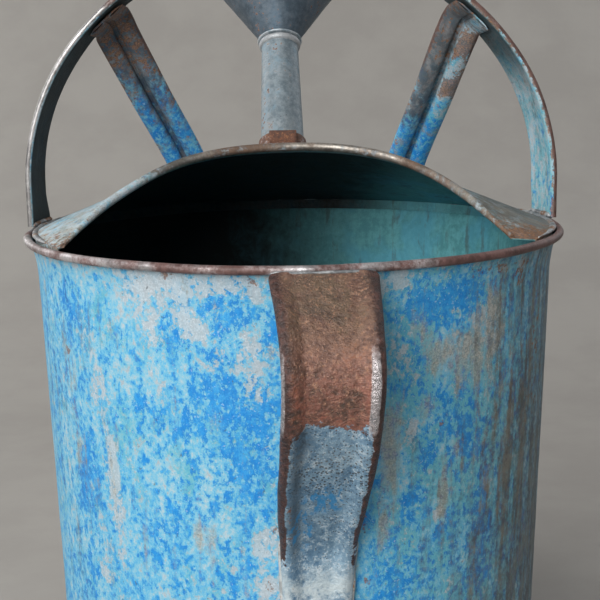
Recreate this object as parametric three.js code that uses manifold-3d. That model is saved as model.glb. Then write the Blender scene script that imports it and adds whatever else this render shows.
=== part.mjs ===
// An old sheet-metal watering can, with a tapered round body, a wired rim, a half hood over the front of the
// mouth, a tall hoop handle across the top with two stays, a strap handle at the back, and a long straight
// spout that carries a push-fit sprinkler rose.
// Millimetres, +Z up. The spout points along +Y and the back handle along -Y.
import * as THREE from "three";
import { mergeVertices } from "three/addons/utils/BufferGeometryUtils.js";
import Module from "manifold-3d";

const wasm = await Module();
wasm.setup();

const DEG = Math.PI / 180;

// ---- driving dimensions -------------------------------------------------------------------------------------
const SHEET = 0.7; // sheet thickness everywhere
const GAP = 0.35; // soldered joints keep this gap

// body
const BODY_H = 270; // floor to the top of the rim bead
const WALL_R = 108.3; // outside radius of the wall at the top, before the flare
const TAPER = 2.1 * DEG; // the wall narrows downwards
const FLARE = 2.9; // the last stretch of wall flares out by this much
const FLARE_H = 18;
const COLUMNS = 40; // facets round the body
const SEAM = 7.7 * DEG; // lap seam, round from the back towards +X
const RIM_CURL_R = 1.7; // outside radius of the curl round the rim wire
const RIM_WIRE_R = 0.65;

// base
const BASE_RECESS = 6.5; // floor of the can above the ground
const BASE_SKIRT = 9; // outside turn-up of the base

// hood
const HOOD_R = 109.3; // radius where the hood meets the rim
const HOOD_END = 121.6 * DEG; // its ends, round from the front
const MOUTH_X_LEFT = 90; // half widths of the arched edge, which was never quite even
const MOUTH_X_RIGHT = 82.5;
const MOUTH_RISE = 31.5; // height of the arched edge above the rim
const MOUTH_POWER = 2.7; // how square-shouldered the arch is
const MOUTH_FRONT_Y = 6; // the crown of the arch
const MOUTH_BACK_Y = -57; // its two ends
const HOOD_CURL_R = 1.8; // its rolled edge, which flattens out towards both ends
const HOOD_CURL_R_END = 0.95;
const HOOD_WIRE_R = 0.6;
const HOOD_WIRE_END = 0.8; // the wire stops short of the ends
const HOOD_FLANGE = 5;

// back handle: a strap with a round bead rolled along each edge, standing outwards
const HANDLE_W = [39.5, 37.6, 36.2, 35.2, 34.8, 34.4, 33.4, 31.2, 28.6, 26.6, 25.2]; // width, evenly along the strap
const HANDLE_BEAD_R = 3.2; // the bead's outer round
const HANDLE_BEAD_TOP = 3.6; // its crest above the inside face
const HANDLE_BEAD_W = 9; // from the strap's edge to where the bead runs out into the flat
const HANDLE_TURN_TOP = 3.7 * DEG; // it sits a little round from the spout's plane
const HANDLE_TURN_FOOT = 2.2 * DEG;
const HANDLE_PATH = [
  // radius from the can's axis and height, along the inside face of the strap
  [114.2, 267.0],
  [119.3, 263.6],
  [127.6, 257.0],
  [136.2, 248.6],
  [141.2, 239.6],
  [141.9, 230.0],
  [138.6, 218.4],
  [131.3, 204.0],
  [121.8, 188.4],
  [112.6, 174.6],
  [107.1, 164.0],
  [105.5, 153.0],
  [104.9, 138.0],
];

// hoop handle over the top: a strap with both edges curled outwards
const HOOP_A = 115; // half width, outside
const HOOP_B = 104; // rise of the round part
const HOOP_SPRING = 288; // height where the legs turn into the arch
const HOOP_Y = 19.5;
const HOOP_W = 24;
const HOOP_CURL = 1.5;
// the strap is turned a little, so that its front edge stands further in than its back edge, as the round rim does
// under its feet; the right leg is turned more than the left
const hoopTurn = (x, y, z) =>
  (HOOP_A - Math.sqrt(HOOP_A ** 2 - y ** 2)) *
  lerp(1, lerp(0.65, 1.1, smooth(-60, 60, x)), smooth(270, 284, z)) *
  lerp(1, 0.5, smooth(345, 390, z));

// stays from the hoop down to the front of the hood
const STAY_W = 19;
const STAY_CURL_U = 4.2;
const STAY_CURL_V = 2.3;
const STAY_FOOT_X = { left: 48.5, right: 56.5 }; // where each crosses 80 mm in front of the can's axis

// spout
const SPOUT_START = new THREE.Vector3(0, 96, 58); // on its axis, just inside the wall
const SPOUT_LEAN = 34 * DEG; // from the vertical
const SPOUT_LEN = 348;
const SPOUT_R_BASE = 19.5;
const SPOUT_R_TIP = 11.2;
const SPOUT_TIP_BEAD = 1.3;
const SPOUT_FACETS = 24;

// spout stay and its band
const BAND_AT = 264; // along the spout's axis
const BAND_W = 14;
const STAY_STRIP_W = 16;
const STAY_STRIP_T = 1.2;

// rose, along the spout's axis from the tip
const SPIGOT_DEPTH = 20;
const SPIGOT_R = 10.0;
const ROSE_R = 47;
const ROSE_CONE_START = 3.0;
const ROSE_CONE_END = 58;
const ROSE_BAND = 6;
const ROSE_HOLE_R = 1.0;
const ROSE_RINGS = [
  [1, 0],
  [6, 10],
  [12, 19],
  [18, 28],
];

// the part's frame has its origin under the middle of the whole object
const FRAME_SHIFT_Y = -109;

// ---- helpers ------------------------------------------------------------------------------------------------
const V3 = (x, y, z) => new THREE.Vector3(x, y, z);
const smooth = (a, b, x) => {
  const t = Math.min(1, Math.max(0, (x - a) / (b - a)));
  return t * t * (3 - 2 * t);
};
const lerp = (a, b, t) => a + (b - a) * t;

function toSolid(geometry) {
  const g = (geometry.index ? geometry.toNonIndexed() : geometry).clone();
  for (const name of Object.keys(g.attributes))
    if (name !== "position") g.deleteAttribute(name);
  const m = mergeVertices(g, 1e-4);
  return new wasm.Manifold(
    new wasm.Mesh({
      numProp: 3,
      vertProperties: new Float32Array(m.attributes.position.array),
      triVerts: new Uint32Array(m.index.array),
    }),
  );
}

function toGeometry(solid) {
  const m = solid.getMesh();
  const v = new Float32Array(m.numVert * 3);
  for (let i = 0; i < m.numVert; i++)
    v.set(m.vertProperties.subarray(i * m.numProp, i * m.numProp + 3), i * 3);
  const g = new THREE.BufferGeometry();
  g.setAttribute("position", new THREE.BufferAttribute(v, 3));
  g.setIndex(new THREE.BufferAttribute(new Uint32Array(m.triVerts), 1));
  return g;
}

// A closed profile of [radius, height] pairs turned about Z. Angle 0 is -Y and it grows towards +X.
function turned(profile, segments) {
  const pts = [...profile, profile[0]].map(([r, z]) => new THREE.Vector2(r, z));
  return new THREE.LatheGeometry(pts, segments).rotateX(Math.PI / 2);
}

// Lays a turned piece out as a sheet that laps over itself at the seam: the far end of the sheet rides on the near one.
function lapped(geometry, segments) {
  const p = geometry.attributes.position;
  const turn = (359.5 * DEG) / (segments - 1);
  for (let i = 0; i < p.count; i++) {
    const x = p.getX(i),
      y = p.getY(i);
    const a = (Math.atan2(x, -y) + 2 * Math.PI) % (2 * Math.PI);
    const k = Math.round(a / ((2 * Math.PI) / segments)) % segments;
    const r = Math.hypot(x, y) + (SHEET * k) / (segments - 1);
    p.setXY(i, r * Math.sin(SEAM + k * turn), -r * Math.cos(SEAM + k * turn));
  }
  return geometry;
}

// A solid through a row of closed rings with the same number of points. flat is one ring's outline in its own plane.
function loft(rings, flat) {
  const n = rings[0].length,
    v = [],
    tri = [];
  for (const ring of rings) for (const q of ring) v.push(q.x, q.y, q.z);
  for (let i = 0; i + 1 < rings.length; i++)
    for (let j = 0; j < n; j++) {
      const a = i * n + j,
        b = i * n + ((j + 1) % n);
      tri.push(a, b, b + n, a, b + n, a + n);
    }
  const last = (rings.length - 1) * n;
  const turn = THREE.ShapeUtils.area(flat);
  for (const [a, q, r] of THREE.ShapeUtils.triangulateShape(flat, [])) {
    const same = THREE.ShapeUtils.area([flat[a], flat[q], flat[r]]) * turn > 0;
    const [b, c] = same ? [q, r] : [r, q];
    tri.push(a, c, b);
    tri.push(last + a, last + b, last + c);
  }
  const g = new THREE.BufferGeometry();
  g.setAttribute("position", new THREE.BufferAttribute(new Float32Array(v), 3));
  g.setIndex(tri);
  const s = toSolid(g);
  if (s.volume() > 0) return g;
  for (let i = 0; i < tri.length; i += 3)
    [tri[i + 1], tri[i + 2]] = [tri[i + 2], tri[i + 1]];
  g.setIndex(tri);
  return g;
}

// Section of a strap whose two edges are curled up: [u, v] pairs, u across and v the way the curls stand.
function strapSection(half, cu, cv, steps, endDeg) {
  const arc = (ru, rv, from, to) =>
    Array.from({ length: steps + 1 }, (_, i) => {
      const a = lerp(from, to, i / steps) * DEG;
      return [half - cu + ru * Math.cos(a), cv + rv * Math.sin(a)];
    });
  const right = [
    ...arc(cu, cv, -90, endDeg),
    ...arc(cu - SHEET, cv - SHEET, endDeg, -90),
  ];
  const left = right.map(([u, v]) => [-u, v]).reverse();
  return [...right, ...left];
}

// The strap's section at another width, with its curls at `curl` of their height.
function strapAt(section, half, cu, newHalf, curl) {
  return section.map(([u, v]) => {
    const edge = half - 2 * cu,
      s = Math.sign(u),
      w = Math.abs(u);
    const flat = Math.max(newHalf - 2 * cu, 0.3);
    return [
      w > edge ? s * (flat + (w - edge) * ((newHalf - flat) / (2 * cu))) : (u * flat) / edge,
      v <= SHEET ? v : SHEET + (v - SHEET) * curl,
    ];
  });
}

// Points a strap follows, evenly spaced along a smooth curve.
function along(points, count) {
  const c = new THREE.CatmullRomCurve3(points, false, "centripetal");
  return { at: c.getSpacedPoints(count), curve: c };
}

// ---- body ---------------------------------------------------------------------------------------------------
const wallR = (z) =>
  WALL_R - (BODY_H - z) * Math.tan(TAPER) + FLARE * Math.max(0, (z - (BODY_H - FLARE_H)) / FLARE_H) ** 2;

const curlZ = BODY_H - RIM_CURL_R;
const curlC = wallR(curlZ) - SHEET + RIM_CURL_R;
const curlArc = (radius, from, to, steps) =>
  Array.from({ length: steps + 1 }, (_, i) => {
    const a = lerp(from, to, i / steps) * DEG;
    return [curlC + radius * Math.cos(a), curlZ + radius * Math.sin(a)];
  });
const wallZ = [1.3, BODY_H - FLARE_H, BODY_H - FLARE_H * 0.55, BODY_H - FLARE_H * 0.25];
const bodyProfile = [
  ...wallZ.map((z) => [wallR(z), z]),
  ...curlArc(RIM_CURL_R - SHEET, 180, -113, 7),
  ...curlArc(RIM_CURL_R, -113, 180, 7),
  ...wallZ.map((z) => [wallR(z) - SHEET, z]).reverse(),
];

// the spout's axis, as a group's frame
const spoutDir = V3(0, Math.sin(SPOUT_LEAN), Math.cos(SPOUT_LEAN));
const spoutQ = new THREE.Quaternion().setFromUnitVectors(V3(0, 0, 1), spoutDir);
const onSpout = (geometry) => {
  geometry.applyQuaternion(spoutQ);
  return geometry.translate(SPOUT_START.x, SPOUT_START.y, SPOUT_START.z);
};
const spoutR = (s) => lerp(SPOUT_R_BASE, SPOUT_R_TIP, s / SPOUT_LEN);

// the hole in the wall that lets water into the spout
const bore = onSpout(
  turned(
    [
      [0, -60],
      [spoutR(0) - 3.2, -60],
      [spoutR(60) - 3.2, 60],
      [0, 60],
    ],
    SPOUT_FACETS,
  ),
);
const bodyShell = toGeometry(
  toSolid(lapped(turned(bodyProfile, COLUMNS), COLUMNS)).subtract(toSolid(bore)),
);

const rimWire = lapped(
  turned(
    Array.from({ length: 5 }, (_, i) => [
      curlC + RIM_WIRE_R * Math.cos((i * Math.PI) / 2.5),
      curlZ + RIM_WIRE_R * Math.sin((i * Math.PI) / 2.5),
    ]),
    COLUMNS,
  ),
  COLUMNS,
);

// ---- base: a recessed disc whose edge is turned down to a foot and up round the bottom of the wall ------------
const footR = wallR(0);
const baseProfile = [
  [0, BASE_RECESS],
  [footR - 4.2, BASE_RECESS],
  [footR - 2.6, BASE_RECESS - 1.4],
  [footR - 2.2, 0],
  [footR + 2.1, 0],
  [wallR(BASE_SKIRT) + 2.1, BASE_SKIRT],
  [wallR(BASE_SKIRT) + 1.4, BASE_SKIRT],
  [footR + 1.4, 0.8],
  [footR - 1.4, 0.8],
  [footR - 1.9, BASE_RECESS - 0.6],
  [footR - 3.9, BASE_RECESS + SHEET],
  [0, BASE_RECESS + SHEET],
];
const baseDisc = turned(baseProfile, COLUMNS).rotateZ(SEAM);

// ---- hood -----------------------------------------------------------------------------------------------------
const mouth = (s) =>
  V3(
    (s < 0 ? MOUTH_X_LEFT : MOUTH_X_RIGHT) * s,
    MOUTH_FRONT_Y - (MOUTH_FRONT_Y - MOUTH_BACK_Y) * Math.abs(s) ** 2.6,
    BODY_H + 0.8 + MOUTH_RISE * (1 - Math.abs(s) ** MOUTH_POWER),
  );
const rimPoint = (s) =>
  V3(HOOD_R * Math.sin(HOOD_END * s), HOOD_R * Math.cos(HOOD_END * s), BODY_H);

function hoodFrame(s) {
  const h = 0.01;
  const m = mouth(s),
    r = rimPoint(s);
  const e = m.clone().sub(r).normalize();
  const t = mouth(Math.min(1, s + h))
    .sub(mouth(Math.max(-1, s - h)))
    .normalize()
    .add(rimPoint(Math.min(1, s + h)).sub(rimPoint(Math.max(-1, s - h))).normalize());
  const n = t.cross(e).normalize();
  if (n.z < 0) n.negate();
  return { m, r, e, n };
}
const hoodCurl = (s) => lerp(HOOD_CURL_R, HOOD_CURL_R_END, smooth(0.8, 1, Math.abs(s)));
const HOOD_STATIONS = Array.from({ length: 25 }, (_, i) => {
  const t = (i / 24) * 2 - 1;
  return Math.sign(t) * (1 - (1 - Math.abs(t)) ** 1.25); // closer together near the ends
});
const P2 = (p, e, a, n, b) => p.clone().addScaledVector(e, a).addScaledVector(n, b);
function hoodRing({ m, r, e, n }, s, up, down) {
  const curl = hoodCurl(s);
  const c = P2(m, e, -curl, n, curl - SHEET);
  const arc = (radius, from, to) =>
    Array.from({ length: 7 }, (_, i) => {
      const a = lerp(from, to, i / 6) * DEG;
      return P2(c, e, radius * Math.cos(a), n, radius * Math.sin(a));
    });
  const out = V3(r.x, r.y, 0).normalize();
  const low = r.clone().addScaledVector(out, -0.9).add(V3(0, 0, -HOOD_FLANGE));
  return [
    low.clone().addScaledVector(out, up * 0.2),
    r.clone().addScaledVector(n, up),
    ...arc(curl - SHEET - up, -90, 208),
    ...arc(curl, 208, -90),
    r.clone().addScaledVector(n, -down).addScaledVector(out, -down),
    low.clone().addScaledVector(out, -down),
  ];
}
const hoodFlat = (() => {
  const f = hoodFrame(0),
    ring = hoodRing(f, 0, 0, SHEET);
  return ring.map((q) => {
    const d = q.clone().sub(f.r);
    return new THREE.Vector2(d.dot(f.e), d.dot(f.n));
  });
})();
const hoodFrames = HOOD_STATIONS.map(hoodFrame);
const hood = loft(
  hoodFrames.map((f, i) => hoodRing(f, HOOD_STATIONS[i], 0, SHEET)),
  hoodFlat,
);
const pentagon = Array.from({ length: 5 }, (_, i) => [Math.cos((i * Math.PI) / 2.5), Math.sin((i * Math.PI) / 2.5)]);
const hoodWire = loft(
  Array.from({ length: 19 }, (_, i) => hoodFrame(HOOD_WIRE_END * (i / 9 - 1))).map(({ m, e, n }) =>
    pentagon.map(([a, b]) =>
      P2(m, e, -HOOD_CURL_R + HOOD_WIRE_R * a, n, HOOD_CURL_R - SHEET + HOOD_WIRE_R * b),
    ),
  ),
  pentagon.map(([a, b]) => new THREE.Vector2(a, b)),
);
// height of the hood's upper face over a point, by walking its straight rulings
function hoodZ(x, y) {
  let best = [1e9, BODY_H];
  for (let s = -1; s <= 1; s += 0.004)
    for (let t = 0; t <= 1; t += 0.02) {
      const q = mouth(s).lerp(rimPoint(s), t);
      const d = (q.x - x) ** 2 + (q.y - y) ** 2;
      if (d < best[0]) best = [d, q.z];
    }
  return best[1];
}
// the room the hood and the rim bead take up, used to trim what is soldered on top of them
const hoodRoom = toSolid(
  loft(
    hoodFrames.map((f) => {
      const out = V3(f.r.x, f.r.y, 0).normalize();
      const a = f.r.clone().addScaledVector(out, 7).setZ(BODY_H + GAP);
      return [
        a,
        f.r.clone().addScaledVector(out, 0.4).setZ(BODY_H + GAP + 0.3),
        P2(f.m, f.e, 0, f.n, GAP),
        P2(f.m, f.e, 0, f.n, -6),
        f.r.clone().setZ(BODY_H - 8),
        a.clone().setZ(BODY_H - 8),
      ];
    }),
    [
      [7, 0.3],
      [0.4, 0.6],
      [-90, 40],
      [-90, 30],
      [0, -8],
      [7, -8],
    ].map(([a, b]) => new THREE.Vector2(a, b)),
  ),
);

// ---- back handle ------------------------------------------------------------------------------------------------
// right half of the strap's section: across, and outwards from the inside face, with the bead at `k` of its height
function handleHalf(half, k) {
  const round = (r, from, to) =>
    Array.from({ length: 6 }, (_, i) => {
      const a = lerp(from, to, i / 5) * DEG;
      return [half - HANDLE_BEAD_R + r * Math.cos(a), k * (HANDLE_BEAD_TOP - HANDLE_BEAD_R + r * Math.sin(a))];
    });
  const flank = (f) => lerp(half - HANDLE_BEAD_R, half - HANDLE_BEAD_W, f);
  const rise = (f) => k * (HANDLE_BEAD_TOP - SHEET) * (1 - smooth(0, 1, f));
  const runOut = [0.3, 0.55, 0.8, 1];
  const inner = round(HANDLE_BEAD_R - SHEET, 90, -20);
  const outer = round(HANDLE_BEAD_R, -20, 90);
  // the flattened bead keeps the sheet's thickness
  outer.forEach((q, i) => (q[1] = inner[5 - i][1] + Math.max(q[1] - inner[5 - i][1], i > 1 ? SHEET * Math.sin(lerp(0.35, 1, i / 5) * 90 * DEG) : 0)));
  return [
    ...[...runOut].reverse().map((f) => [flank(f), rise(f)]),
    ...inner,
    ...outer,
    ...runOut.map((f) => [flank(f), rise(f) + SHEET]),
  ];
}
function handleSection(half, k) {
  const right = handleHalf(half, k);
  const left = right.map(([u, v]) => [-u, v]).reverse();
  return [...right, ...left];
}
const handlePts = along(
  HANDLE_PATH.map(([r, z]) => V3(r, 0, z)),
  18,
).at;
const handleRings = handlePts.map((p, i) => {
  const a = handlePts[Math.max(0, i - 1)],
    b = handlePts[Math.min(handlePts.length - 1, i + 1)];
  const t = b.clone().sub(a).normalize();
  const n = V3(-t.z, 0, t.x);
  const s = i / (handlePts.length - 1);
  const w = Math.min(s * (HANDLE_W.length - 1), HANDLE_W.length - 1.001),
    j = Math.floor(w);
  const half = lerp(HANDLE_W[j], HANDLE_W[j + 1], w - j) / 2;
  const turn = lerp(HANDLE_TURN_TOP, HANDLE_TURN_FOOT, smooth(0.2, 1, s));
  const curl = (0.22 + 0.78 * smooth(0, 0.13, s)) * (1 - 0.45 * smooth(0.8, 1, s)); // flattened at both ends
  return handleSection(half, curl).map(([u, v]) => {
    const r = p.x + n.x * v,
      ang = turn + u / p.x;
    return V3(r * Math.sin(ang), -r * Math.cos(ang), p.z + n.z * v);
  });
});
const backHandle = loft(
  handleRings,
  handleSection(HANDLE_W[0] / 2, 1).map(([u, v]) => new THREE.Vector2(u, v)),
);

// ---- hoop handle --------------------------------------------------------------------------------------------------
const hoopSection = strapSection(HOOP_W / 2, HOOP_CURL, HOOP_CURL, 6, 220);
const hoopFrames = [
  ...[BODY_H - 3, 279].map((z) => ({ x: -HOOP_A, z, nx: 1, nz: 0 })),
  ...Array.from({ length: 21 }, (_, i) => {
    const a = Math.PI * (1 - i / 20);
    const nx = -Math.cos(a) / HOOP_A,
      nz = -Math.sin(a) / HOOP_B,
      l = Math.hypot(nx, nz);
    return { x: HOOP_A * Math.cos(a), z: HOOP_SPRING + HOOP_B * Math.sin(a), nx: nx / l, nz: nz / l };
  }),
  ...[279, BODY_H - 3].map((z) => ({ x: HOOP_A, z, nx: -1, nz: 0 })),
];
const hoopHandle = toGeometry(
  toSolid(
    loft(
      hoopFrames.map(({ x, z, nx, nz }) =>
        hoopSection.map(([u, v]) => {
          const y = HOOP_Y - u;
          const deep = 2 * HOOP_CURL - v + hoopTurn(x, y, z);
          return V3(x + nx * deep, y, z + nz * deep);
        }),
      ),
      hoopSection.map(([u, v]) => new THREE.Vector2(u, v)),
    ),
  ).subtract(hoodRoom),
);

// ---- stays --------------------------------------------------------------------------------------------------------
const staySection = strapSection(STAY_W / 2, STAY_CURL_U, STAY_CURL_V, 6, 218);
function stay(side) {
  const under = (() => {
    // a point under the hoop, and the hoop's inward direction there
    const x = 81.5,
      z = HOOP_SPRING + HOOP_B * Math.sqrt(1 - (x / HOOP_A) ** 2);
    const n = V3(-x / HOOP_A ** 2, 0, -(z - HOOP_SPRING) / HOOP_B ** 2).normalize();
    const at = (y) => P2(V3(x, y, z), n, 2 * HOOP_CURL + 1.0 + hoopTurn(side * x, y, z), n, 0);
    return { at, n };
  })();
  const padLift = SHEET + 0.35 * (2 * STAY_CURL_V - SHEET) + 1.1;
  const x0 = side < 0 ? STAY_FOOT_X.left : STAY_FOOT_X.right;
  const pad = (x, y) => V3(x, y, hoodZ(side * x, y) + padLift);
  const low = V3(x0, 80, 292);
  const bend = under.at(33.5).add(V3(-1.0, 0, -3.6));
  const keys = [
    { p: pad(x0 - 7.2, 97.0 - (x0 - 48) * 0.35), n: V3(0, -0.28, -0.96), k: 0.35 },
    { p: pad(x0 - 5.4, 91.5 - (x0 - 48) * 0.2), n: V3(0, -0.28, -0.96), k: 0.35 },
    { p: pad(x0 - 3.8, 86.5).add(V3(0, 0, 1.0)), n: V3(0, -0.5, -0.86), k: 0.55 },
    { p: low, n: V3(0, -0.8, -0.6), k: 1 },
    { p: low.clone().lerp(bend, 0.55), n: V3(-0.08, -0.8, -0.6), k: 1 },
    { p: bend, n: V3(-0.36, -0.55, -0.75), k: 0.8 },
    { p: under.at(27.5), n: under.n.clone().add(V3(0, -0.12, 0)), k: 0.4 },
    { p: under.at(20), n: under.n, k: 0.25 },
    { p: under.at(12.5), n: under.n, k: 0.2 },
  ];
  const curve = new THREE.CatmullRomCurve3(
    keys.map((q) => q.p),
    false,
    "centripetal",
  );
  const rings = [];
  for (let i = 0; i + 1 < keys.length; i++) {
    const steps = i === 4 || i === 5 ? 2 : 1;
    for (let j = 0; j < steps; j++) rings.push([i + j / steps]);
  }
  rings.push([keys.length - 1]);
  const strip = loft(
    rings.map(([q]) => {
      const i = Math.min(keys.length - 2, Math.floor(q)),
        f = q - i;
      const u = q / (keys.length - 1);
      const p = curve.getPoint(u),
        t = curve.getTangent(u);
      const n = keys[i].n.clone().lerp(keys[i + 1].n, f);
      n.addScaledVector(t, -n.dot(t)).normalize();
      const w = n.clone().cross(t);
      const k = lerp(keys[i].k, keys[i + 1].k, f);
      return strapAt(staySection, STAY_W / 2, STAY_CURL_U, STAY_W / 2, k).map(([a, b]) => {
        const c = P2(p, w, a, n, b);
        return V3(c.x * side, c.y, c.z);
      });
    }),
    staySection.map(([u, v]) => new THREE.Vector2(u, v)),
  );
  return toGeometry(toSolid(strip).subtract(hoodRoom));
}

// ---- spout --------------------------------------------------------------------------------------------------------
const spoutTube = toSolid(
  onSpout(
    turned(
      [
        [spoutR(-40), -40],
        [spoutR(SPOUT_LEN - 3.2), SPOUT_LEN - 3.2],
        [SPOUT_R_TIP + SPOUT_TIP_BEAD, SPOUT_LEN - 2.2],
        [SPOUT_R_TIP + SPOUT_TIP_BEAD * 1.35, SPOUT_LEN - 0.9],
        [SPOUT_R_TIP + SPOUT_TIP_BEAD, SPOUT_LEN + 0.4],
        [SPOUT_R_TIP - 0.1, SPOUT_LEN + 0.9],
        [SPOUT_R_TIP - SHEET, SPOUT_LEN],
        [spoutR(-40) - SHEET, -40],
      ],
      SPOUT_FACETS,
    ),
  ),
);
// the wall it is soldered to, a little oversize, trims its foot
const wallRoom = toSolid(
  turned(
    [
      [0, -20],
      [wallR(-20) + SHEET + GAP + 0.3, -20],
      [WALL_R + SHEET + GAP + 0.3, BODY_H],
      [0, BODY_H],
    ],
    COLUMNS * 2,
  ),
);
const spout = toGeometry(spoutTube.subtract(wallRoom));

// band round the spout and the strip that ties it back to the rim
const spoutBand = onSpout(
  turned(
    [
      [spoutR(BAND_AT) + GAP + 0.1, BAND_AT],
      [spoutR(BAND_AT) + GAP + 1.0, BAND_AT],
      [spoutR(BAND_AT + BAND_W) + GAP + 1.0, BAND_AT + BAND_W],
      [spoutR(BAND_AT + BAND_W) + GAP + 0.1, BAND_AT + BAND_W],
    ],
    SPOUT_FACETS,
  ),
);
const stripEnd = V3(0, 0, BAND_AT + BAND_W / 2).applyQuaternion(spoutQ).add(SPOUT_START);
const stripUp = V3(0, -spoutDir.z, spoutDir.y); // square to the spout, towards the can
const stripPath = [
  V3(0, 104, hoodZ(0, 104) + 0.75),
  V3(0, 110.5, BODY_H + 1.6),
  V3(0, 117, BODY_H + 3.6),
  V3(0, 165, BODY_H + 13.5),
  stripEnd.clone().addScaledVector(stripUp, spoutR(BAND_AT) + 5.5).add(V3(0, -9, -6.5)),
  stripEnd.clone().addScaledVector(stripUp, spoutR(BAND_AT) + 2.0).add(spoutDir.clone().multiplyScalar(-2.5)),
  stripEnd.clone().addScaledVector(stripUp, spoutR(BAND_AT) + 1.75).add(spoutDir.clone().multiplyScalar(6.0)),
];
const stripPts = along(stripPath, 14).at;
const spoutStay = loft(
  stripPts.map((p, i) => {
    const t = stripPts[Math.min(stripPts.length - 1, i + 1)].clone().sub(stripPts[Math.max(0, i - 1)]).normalize();
    const n = V3(0, -t.z, t.y);
    const w = STAY_STRIP_W / 2;
    return [
      [-w, 0],
      [w, 0],
      [w, STAY_STRIP_T],
      [-w, STAY_STRIP_T],
    ].map(([a, b]) => V3(a, p.y + n.y * b, p.z + n.z * b));
  }),
  [
    [-1, 0],
    [1, 0],
    [1, 1],
    [-1, 1],
  ].map(([a, b]) => new THREE.Vector2(a, b)),
);

// ---- rose: a spigot that pushes into the spout, a cone and a domed, pierced face ------------------------------------
const ROSE_FACETS = 28;
const T = SPOUT_LEN; // distances below run from the tip
const roseSpigot = onSpout(
  turned(
    [
      [SPIGOT_R - SHEET, T - SPIGOT_DEPTH],
      [SPIGOT_R, T - SPIGOT_DEPTH],
      [SPIGOT_R, T + 1.3],
      [SPOUT_R_TIP + 2.2, T + 1.4],
      [SPOUT_R_TIP + 2.6, T + 2.0],
      [SPOUT_R_TIP + 2.2, T + 2.6],
      [SPIGOT_R, T + 2.7],
      [SPIGOT_R, T + 7],
      [SPIGOT_R - SHEET, T + 7],
    ],
    SPOUT_FACETS,
  ),
);
const roseCone = onSpout(
  turned(
    [
      [SPIGOT_R + 0.5, T + ROSE_CONE_START],
      [SPIGOT_R + 1.4, T + ROSE_CONE_START],
      [ROSE_R, T + ROSE_CONE_END],
      [ROSE_R + 0.9, T + ROSE_CONE_END + 1.2],
      [ROSE_R + 0.9, T + ROSE_CONE_END + ROSE_BAND],
      [ROSE_R - 0.2, T + ROSE_CONE_END + ROSE_BAND + 0.8],
      [ROSE_R - 2.0, T + ROSE_CONE_END + ROSE_BAND + 0.4],
      [ROSE_R - 2.0, T + ROSE_CONE_END + ROSE_BAND - 0.3],
      [ROSE_R + 0.2, T + ROSE_CONE_END + ROSE_BAND - 0.3],
      [ROSE_R + 0.2, T + ROSE_CONE_END + 1.5],
      [ROSE_R - 0.5, T + ROSE_CONE_END + 0.6],
      [SPIGOT_R + 0.5, T + ROSE_CONE_START + 0.9],
    ],
    ROSE_FACETS,
  ),
);
const domeR = ROSE_R - 0.5;
const domeZ = (r) => T + ROSE_CONE_END + 4.6 + 5.5 * (1 - (r / (domeR - 3)) ** 2);
const domeStops = [domeR - 3, 33, 20];
const faceBlank = toSolid(
  turned(
    [
      [domeR, T + ROSE_CONE_END + 4.6],
      [domeR, T + ROSE_CONE_END + 5.3],
      ...domeStops.map((r) => [r, domeZ(r) + SHEET]),
      [0, domeZ(0) + SHEET],
      [0, domeZ(0)],
      ...[...domeStops].reverse().map((r) => [r, domeZ(r)]),
    ],
    ROSE_FACETS,
  ),
);
let holes = null;
for (const [count, radius] of ROSE_RINGS)
  for (let i = 0; i < count; i++) {
    const a = (2 * Math.PI * (i + (radius / 9.5) * 0.5)) / count;
    const pin = toSolid(
      new THREE.CylinderGeometry(ROSE_HOLE_R, ROSE_HOLE_R, 30, 6)
        .rotateX(Math.PI / 2)
        .translate(radius * Math.cos(a), radius * Math.sin(a), T + ROSE_CONE_END + 8),
    );
    holes = holes ? holes.add(pin) : pin;
  }
const roseFace = onSpout(toGeometry(faceBlank.subtract(holes)));

// ---- the scene graph ------------------------------------------------------------------------------------------------
const paint = new THREE.MeshStandardMaterial({ color: 0x4f9fd6, roughness: 0.62, metalness: 0.15 });
const zinc = new THREE.MeshStandardMaterial({ color: 0x8e9aa3, roughness: 0.5, metalness: 0.7 });
const rust = new THREE.MeshStandardMaterial({ color: 0x6b4534, roughness: 0.8, metalness: 0.2 });

const can = new THREE.Group();
can.position.set(0, FRAME_SHIFT_Y, 0);
const put = (name, geometry, material, parent = can) => {
  const mesh = new THREE.Mesh(geometry, material);
  mesh.name = name;
  parent.add(mesh);
};
put("body_shell", bodyShell, paint);
put("rim_wire", rimWire, rust);
put("base_disc", baseDisc, zinc);
put("hood", hood, paint);
put("hood_edge_wire", hoodWire, rust);
put("back_handle", backHandle, rust);
put("hoop_handle", hoopHandle, paint);
put("left_stay", stay(-1), paint);
put("right_stay", stay(1), paint);
put("spout_tube", spout, paint);
put("spout_band", spoutBand, rust);
put("spout_stay", spoutStay, rust);

const rose = new THREE.Group();
put("rose_spigot", roseSpigot, zinc, rose);
put("rose_cone", roseCone, zinc, rose);
put("rose_face", roseFace, zinc, rose);
can.add(rose);

const part = new THREE.Group();
part.add(can);
export default part;
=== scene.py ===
# An old flaking blue watering can, seen from behind the back handle.
# Metres in the scene; the shapes below are worked out in millimetres about the can's own axis.
import math

import bmesh
import bpy
import numpy as np
from mathutils import Matrix, Vector


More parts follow.
